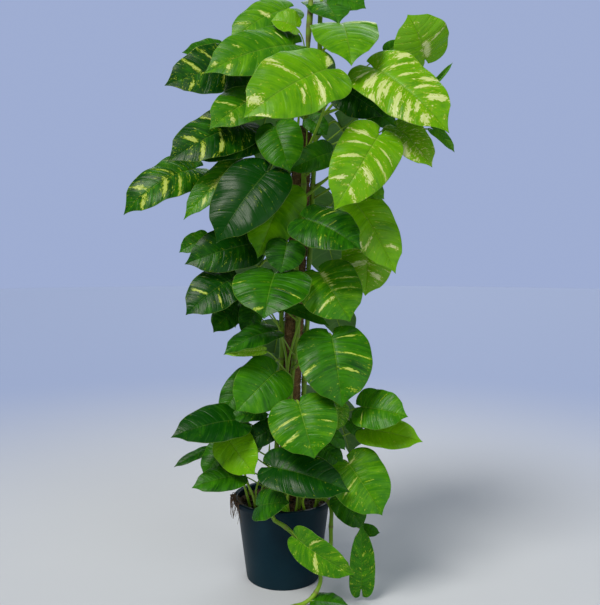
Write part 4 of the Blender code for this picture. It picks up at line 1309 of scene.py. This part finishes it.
SHOOTS = (
    ((-48, -60, 145), (-53, -66, 176), (-62, -74, 200), (-75, -84, 222)),
    ((-40, -56, 145), (-48, -60, 170), (-46, -63, 193), (-38, -62, 212)),
    ((-33, -62, 145), (-39, -68, 170), (-34, -74, 198), (-20, -78, 222)),
    ((-12, -70, 145), (-24, -78, 162), (-20, -84, 178), (-6, -85, 175), (4, -82, 160), (10, -80, 168)),
    ((12, -72, 145), (9, -76, 172), (13, -74, 200), (10, -72, 232)),
    ((24, -70, 145), (27, -73, 172), (22, -74, 204)),
    ((41, -66, 145), (37, -73, 168), (43, -78, 182), (55, -74, 179)),
    ((-7, -58, 145), (-3, -62, 182), (4, -68, 225), (0, -70, 260)),
    ((60, -48, 145), (65, -52, 188), (74, -56, 226), (88, -64, 258)),
    ((-60, -40, 145), (-69, -45, 184), (-78, -54, 216), (-92, -66, 240)),
    ((31, -50, 145), (35, -54, 200), (30, -60, 262), (34, -72, 310)),
    ((9, -30, 385), (6, -36, 430), (-6, -46, 480), (-24, -58, 515)),
    ((8, -30, 392), (14, -38, 430), (26, -46, 475), (38, -56, 512)),
    ((46, -26, 560), (52, -36, 620), (66, -52, 668), (84, -66, 700)),
    ((-22, 48, 145), (-30, 54, 190), (-28, 62, 240)),
    ((34, 52, 145), (42, 58, 186), (40, 66, 226)),
    ((-62, 22, 145), (-72, 28, 178), (-84, 34, 204)),
)
SHOOT_RADIUS = 0.0021
# The sheath round the newest leaf.
SHEATH = ((46, -20, 965), (47, -24, 1000), (50, -26, 1040), (52, -26, 1082))


def build_shoots():
    shape, layers = new_leaf_shape()
    for number, points in enumerate(SHOOTS):
        path = smooth_path(in_metres(points), 0.0035)
        radii = [
            SHOOT_RADIUS * (1.25 - 0.55 * step / len(path)) * min(1.0, 0.15 + (len(path) - 1 - step) / 3)
            for step in range(len(path))
        ]
        for ring in grow_limb(shape, path, radii, 10):
            for vert in ring:
                vert[layers["stem"]] = Vector((0.05, 0.75 + 0.4 * sin(number * 2.3), 0.0))
    path = smooth_path(in_metres(SHEATH), 0.004)
    radii = [0.0022 + 0.0036 * sin(pi * step / len(path)) for step in range(len(path))]
    for step, ring in enumerate(grow_limb(shape, path, radii)):
        for vert in ring:
            vert[layers["stem"]] = Vector((0.45 + 0.3 * sin(step), 0.9, 0.0))
    for face in shape.faces:
        face.material_index = 1
    finish_leaves("young_shoots", shape)


build_shoots()

# ---------------------------------------------------------------------------------------------
# Floor, light and camera: a plain pale floor that turns to the backdrop's blue further off, a wide
# soft sun from the front left and two weaker ones, and a camera level with the plant's middle.

FLOOR_RADIUS = 12.0


def build_floor():
    material, shader, wire = new_material("floor_finish", 0.85, 0.3)
    uneven = wire.group(mottle, Place=wire.place(), Slow_Scale=1.2, Fine_Scale=60.0)
    near = wire.mix(uneven["Slow"], (0.58, 0.60, 0.64, 1), (0.63, 0.65, 0.68, 1))
    distance = wire.tree.nodes.new("ShaderNodeVectorMath")
    distance.operation = "LENGTH"
    wire.plug(distance.inputs[0], wire.place())
    colour = wire.mix(wire.spread(distance.outputs["Value"], 0.3, 2.4), near, (0.352, 0.428, 0.658, 1))
    wire.plug(shader.inputs["Base Color"], colour)
    shape = bmesh.new()
    bmesh.ops.create_circle(shape, cap_ends=True, segments=96, radius=FLOOR_RADIUS)
    floor = new_object("floor", shape)
    floor.data.materials.append(material)


def add_sun(name, towards, spread, power, colour):
    """A wide, soft sun that stands towards a direction and lights the floor evenly to its edge."""
    light = bpy.data.lights.new(name, "SUN")
    light.angle = radians(spread)
    light.energy = power
    light.color = colour
    lamp = bpy.data.objects.new(name, light)
    lamp.rotation_euler = Vector(towards).to_track_quat("Z", "Y").to_euler()
    bpy.context.scene.collection.objects.link(lamp)


def build_world():
    """A pale blue room behind the plant, which lights it more dimly than it looks."""
    world = bpy.data.worlds.new("studio")
    world.use_nodes = True
    wire = Finish(world.node_tree)
    seen = wire.tree.nodes.new("ShaderNodeLightPath").outputs["Is Camera Ray"]
    background = world.node_tree.nodes["Background"]
    background.inputs["Strength"].default_value = 0.75
    wire.plug(background.inputs["Color"], wire.mix(seen, (0.170, 0.195, 0.230, 1), (0.46, 0.56, 0.86, 1)))
    bpy.context.scene.world = world


def build_camera():
    camera_data = bpy.data.cameras.new("camera")
    camera_data.sensor_width = 36.0
    camera_data.lens = 42.49
    camera = bpy.data.objects.new("camera", camera_data)
    camera.location = (0.032, -1.33, 0.615)
    camera.rotation_euler = (radians(86.0), 0.0, 0.0)
    bpy.context.scene.collection.objects.link(camera)
    bpy.context.scene.camera = camera


build_floor()
add_sun("key", (-0.60, -0.80, 1.25), 24.0, 2.30, (1.0, 0.97, 0.90))
add_sun("front_fill", (1.5, -2.2, 1.1), 50.0, 0.70, (0.93, 0.97, 1.0))
add_sun("back_fill", (0.4, 2.2, 1.4), 50.0, 0.95, (0.92, 0.96, 1.0))
build_world()
bpy.context.scene.view_settings.view_transform = "Standard"
build_camera()
